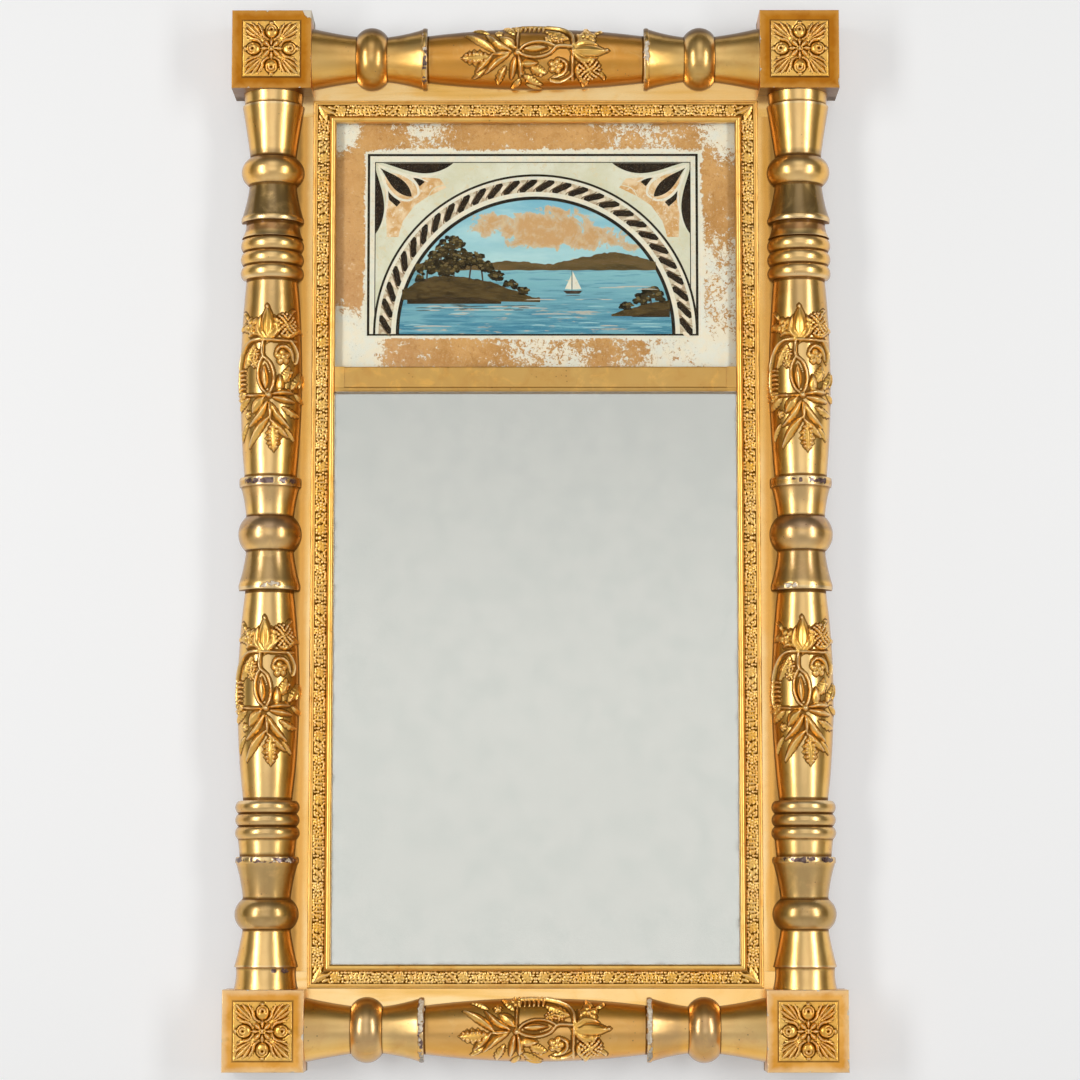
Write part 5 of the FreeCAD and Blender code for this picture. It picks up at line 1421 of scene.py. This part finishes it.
def dress_turnings():
    """The four turnings and the six sprays cast on them."""
    upright_bands = [
        # the band at 269.5 is painted shade at the top of the cove, under the cup's lip
        (331, 5, 3, 0.6, TARNISH), (292, 13.5, 2, 0.85, OLIVE), (269.5, 4.0, 2.0, 0.8, REDDISH),
        (205, 14, 12, 0.3, TARNISH), (10, 6, 3, 0.6, PURPLE), (-4, 5, 6, 0.3, PURPLE),
        (-27, 13, 3, 0.6, TARNISH), (36, 8, 6, 0.25, PURPLE), (-297, 13, 5, 0.4, TARNISH),
        (-325, 11, 3, 0.45, OLIVE), (-244, 16, 4, 0.25, TARNISH)]
    top_bands = [(0, 92, 2, 0.8, SWELL_TONES["top"]), (-143, 10, 5, 0.3, OLIVE), (143, 10, 5, 0.3, OLIVE)]
    bottom_bands = [(0, 92, 2, 0.5, SWELL_TONES["bottom"]), (-143, 10, 5, 0.35, PURPLE),
                    (-112, 10, 6, 0.2, TARNISH), (143, 10, 5, 0.35, PURPLE), (112, 10, 6, 0.25, PURPLE)]
    upright_bands = [(MID_Z + place, *rest) for place, *rest in upright_bands]
    upright = gilding("gilt_upright", bands=upright_bands, turned=True)
    top = gilding("gilt_level_top", deep=1.0, bands=top_bands, along="x", turned=True, pale=0.25,
                  shade=(0.32, 0.56, 0.92, (0.085, 0.038, 0.004)))
    bottom = gilding("gilt_level_bottom", deep=0.9, bands=bottom_bands, along="x", turned=True,
                     shade=(0.45, 0.80, 0.7, (0.14, 0.06, 0.012)))
    cast = gilding("gilt_composition", (0.27, 0.37), carved=True)
    seeds = {"left": 10, "right": 12, "top": 31, "bottom": 47}
    lies = {side: ("z", MID_Z, AXIS_X * out, upright_profile) for side, out in SIDES.items()}
    lies["top"] = ("x", 0.0, TOP_Z - TOP_DROP, level_profile)
    lies["bottom"] = ("x", 0.0, BASE_Z, level_profile)
    # where gesso is chipped off, then where it is cracked
    wear = {
        "left": ([(-44.5, 0.8, 0.0, 0.5), (-279, 0.35, 0.3, 1.0)],
                 [(-279, 0.8, 0.0, 1.6), (45.5, 0.75, 0.1, 1.2), (-372, 0.5, 0.6, 0.5)]),
        "right": ([(-45.5, 0.5, -0.4, 0.8)], [(45.5, 0.6, 0.2, 1.2), (-279, 0.6, 0.2, 1.4)]),
        "top": ([(-CUP_EDGE, 0.3, 0.3, 1.2), (CUP_EDGE, 0.25, 0.0, 1.2)], [(-CUP_EDGE, 0.4, -0.3, 1.0)]),
        "bottom": ([(-CUP_EDGE, 0.95, 0.0, 1.7), (CUP_EDGE, 1.0, 0.0, 1.7)], [(-CUP_EDGE, 0.5, 0.0, 1.7)]),
    }
    spray = cast_spray()

    def turn(spot, material):
        turning("baluster_" + spot, *lies[spot], material, *wear[spot], seeds[spot])

    def apply(spot, level=""):
        applied_spray("applique_" + spot + level, *lies[spot], cast, seeds[spot], spray)

    for side in SIDES:
        turn(side, upright)
        apply(side, "_upper")
        apply(side, "_lower")
    turn("top", top)
    turn("bottom", bottom)
    apply("top")
    apply("bottom")


def dress_boards_and_mouldings():
    cast_rosettes(gilding("gilt_rosette", (0.28, 0.38), deep=0.7, carved=True, shade_and_grime=1.0))
    run_gold = gilding("gilt_relief", (0.34, 0.44), deep=1.0, carved=True, shade_and_grime=1.0)
    sight_gold = gilding("gilt_moulding", deep=0.35)
    for spot in ("left", "right", "top", "bottom"):
        cast_run(spot, run_gold)
        dress("moulding_" + spot, sight_gold, smoothed=True)
    dress("cross_rail", gilding("gilt_cross_rail", (0.40, 0.50), along="x",
                               bands=[(20, 190, 8, 0.6, (0.50, 0.29, 0.07))]), smoothed=True)
    # the top blocks' tones are darker than the bottom ones': painted shade on the top blocks
    tones = {"top": ((0.62, 0.235, 0.014), (0.50, 0.165, 0.006), (0.76, 0.38, 0.08)),
             "bottom": ((1.0, 0.52, 0.12), (0.84, 0.37, 0.05), (1.0, 0.72, 0.40))}
    for end, z in (("top", TOP_Z), ("bottom", BASE_Z)):
        dress("rail_" + end, gilded_board("gilt_rail_" + end, "x"))
        for side, out in SIDES.items():
            chipped = (1, 1) if (end, side) == ("top", "left") else None
            gold = gilded_block(f"gilt_block_{end}_{side}", AXIS_X * out, z, tones[end], chipped)
            dress(f"corner_block_{end}_{side}", gold, smoothed=True)
    for side in SIDES:
        dress("stile_" + side, gilded_board("gilt_stile_" + side, "z"))


def dress_panes_and_back():
    dress("tablet_glass", pane("tablet_pane", 1.08))
    dress("mirror_glass", pane("mirror_pane", 1.5))
    dress("mirror_silvering", silvering("tin_silvering"))
    painted_film()
    for level, stains, hue in (
            ("tablet", 0.50, (0.40, 0.245, 0.125)), ("upper", 0.58, (0.36, 0.22, 0.115)),
            ("middle", 0.66, (0.43, 0.27, 0.14)), ("lower", 0.74, (0.37, 0.215, 0.105))):
        dress("backboard_" + level, pine("pine_back_" + level, stains, hue))
    block_pine = pine("pine_glue_blocks", 0.4, (0.46, 0.30, 0.16))
    dress("tablet_glazing_blocks", block_pine)
    dress("mirror_glazing_blocks", block_pine)
    dress("backboard_nails", metal_finish("cut_iron", (0.16, 0.14, 0.125), (0.07, 0.055, 0.045), 0.5, 0.8))
    brass = metal_finish("dull_brass", (0.62, 0.43, 0.17), (0.34, 0.22, 0.09), 0.3)
    for side in SIDES:
        for part in ("strap", "ring"):
            dress(f"hanger_{part}_{side}", brass, smoothed=True)
    dress("hanger_screws", metal_finish("dull_steel", (0.42, 0.41, 0.40), (0.22, 0.20, 0.18), 0.36, 0.25))


# Stage, lamps, world and camera

WALL_BACK, WALL_TOP, WALL_SIDE = 0.0062, 4.5, 8.0
FLOOR, FLOOR_FRONT, COVE = -1.25, -9.0, 0.5
WALL_GLOW = 0.31
WORLD_LEVEL = 1.12
CAMERA_PLACE, CAMERA_LENS = (0.0110, -2.8535, 0.1038), 110.07
CAMERA_TURN = (math.radians(90 + 6.344), 0.0, 0.00252)


def wall_and_floor():
    """A pale wall just behind the frame, curving into a floor; it isn't seen from behind."""
    p = Paint("pale_wall")
    color = p.mix(p.over(0.4, 0.6, p.noise(0.7, 2)), (0.70, 0.70, 0.70), (0.69, 0.692, 0.69))
    seen = p.most(p.most(p.ray("Camera"), p.ray("Glossy")), p.ray("Transmission"))
    glow = p.put("Emission", {"Color": (1, 1, 1), "Strength": seen * WALL_GLOW})
    bright = p.put("AddShader", {0: p.put("BsdfDiffuse", {"Color": color}), 1: glow})
    p.show(p.either(p.put("NewGeometry", output="Backfacing"), bright, p.put("BsdfTransparent")))
    curve = [(WALL_BACK - COVE + COVE * math.cos(a), FLOOR + COVE - COVE * math.sin(a))
             for a in np.linspace(0, math.pi / 2, 13)]
    line = [(WALL_BACK, WALL_TOP), *curve, (FLOOR_FRONT, FLOOR)]
    verts = [(x, y, z) for y, z in line for x in (-WALL_SIDE, WALL_SIDE)]
    faces = [(i, i + 2, i + 3, i + 1) for i in range(0, 2 * len(line) - 2, 2)]
    mesh = bpy.data.meshes.new("pale_wall")
    mesh.from_pydata(verts, [], faces)
    smooth(mesh)
    mesh.materials.append(p.material)
    wall = bpy.data.objects.new("pale_wall", mesh)
    bpy.context.scene.collection.objects.link(wall)
    wall.visible_shadow = False
    wall.visible_diffuse = False


def lamp(name, place, aim, width, height, radiance):
    """A soft box. Its power gives the named brightness over its face."""
    data = bpy.data.lights.new(name, "AREA")
    data.shape = "RECTANGLE"
    data.size, data.size_y = width, height
    data.energy = radiance * math.pi * width * height
    made = bpy.data.objects.new(name, data)
    made.location = place
    made.rotation_euler = (Vector(aim) - Vector(place)).to_track_quat("-Z", "Y").to_euler()
    made.visible_camera = False
    bpy.context.scene.collection.objects.link(made)


def light_it():
    lamp("soft_box_left", (-1.45, -1.55, 0.62), (0, 0, 0.42), 0.42, 1.7, 7.4)
    lamp("soft_box_right", (1.50, -1.60, 0.62), (0, 0, 0.42), 0.40, 1.7, 6.9)
    lamp("soft_box_behind", (0.0, 2.20, 0.45), (0, 0, 0.0), 1.6, 1.6, 3.6)
    world = bpy.data.worlds.new("studio")
    bpy.context.scene.world = world
    room = Nodes(world, "ShaderNodeOutputWorld", "Generated")
    aside = abs(room.x)
    level = room.over(0.12, 0.38, aside, 1.0, 0.22) * room.over(0.50, 0.95, aside, 1.0, 0.35)
    level = level * room.over(-0.35, 0.15, room.y, 1.0, 0.4)
    for low, high, start, end in ((0.05, 0.24, 1.0, 0.70), (0.30, 0.50, 1.0, 1.35), (0.62, 0.92, 1.0, 0.12),
                                  (-0.85, -0.2, 0.2, 1.0)):
        level = level * room.over(low, high, room.z, start, end)
    room.show(room.put("Background", {"Color": (1.0, 0.997, 0.985), "Strength": level * WORLD_LEVEL}))


def aim_camera():
    data = bpy.data.cameras.new("camera")
    data.sensor_width = 36.0
    data.lens = CAMERA_LENS
    camera = bpy.data.objects.new("camera", data)
    camera.location = CAMERA_PLACE
    camera.rotation_euler = CAMERA_TURN
    bpy.context.scene.collection.objects.link(camera)
    bpy.context.scene.camera = camera


dress_turnings()
dress_boards_and_mouldings()
dress_panes_and_back()
wall_and_floor()
light_it()
aim_camera()
bpy.context.scene.view_settings.view_transform = "Standard"
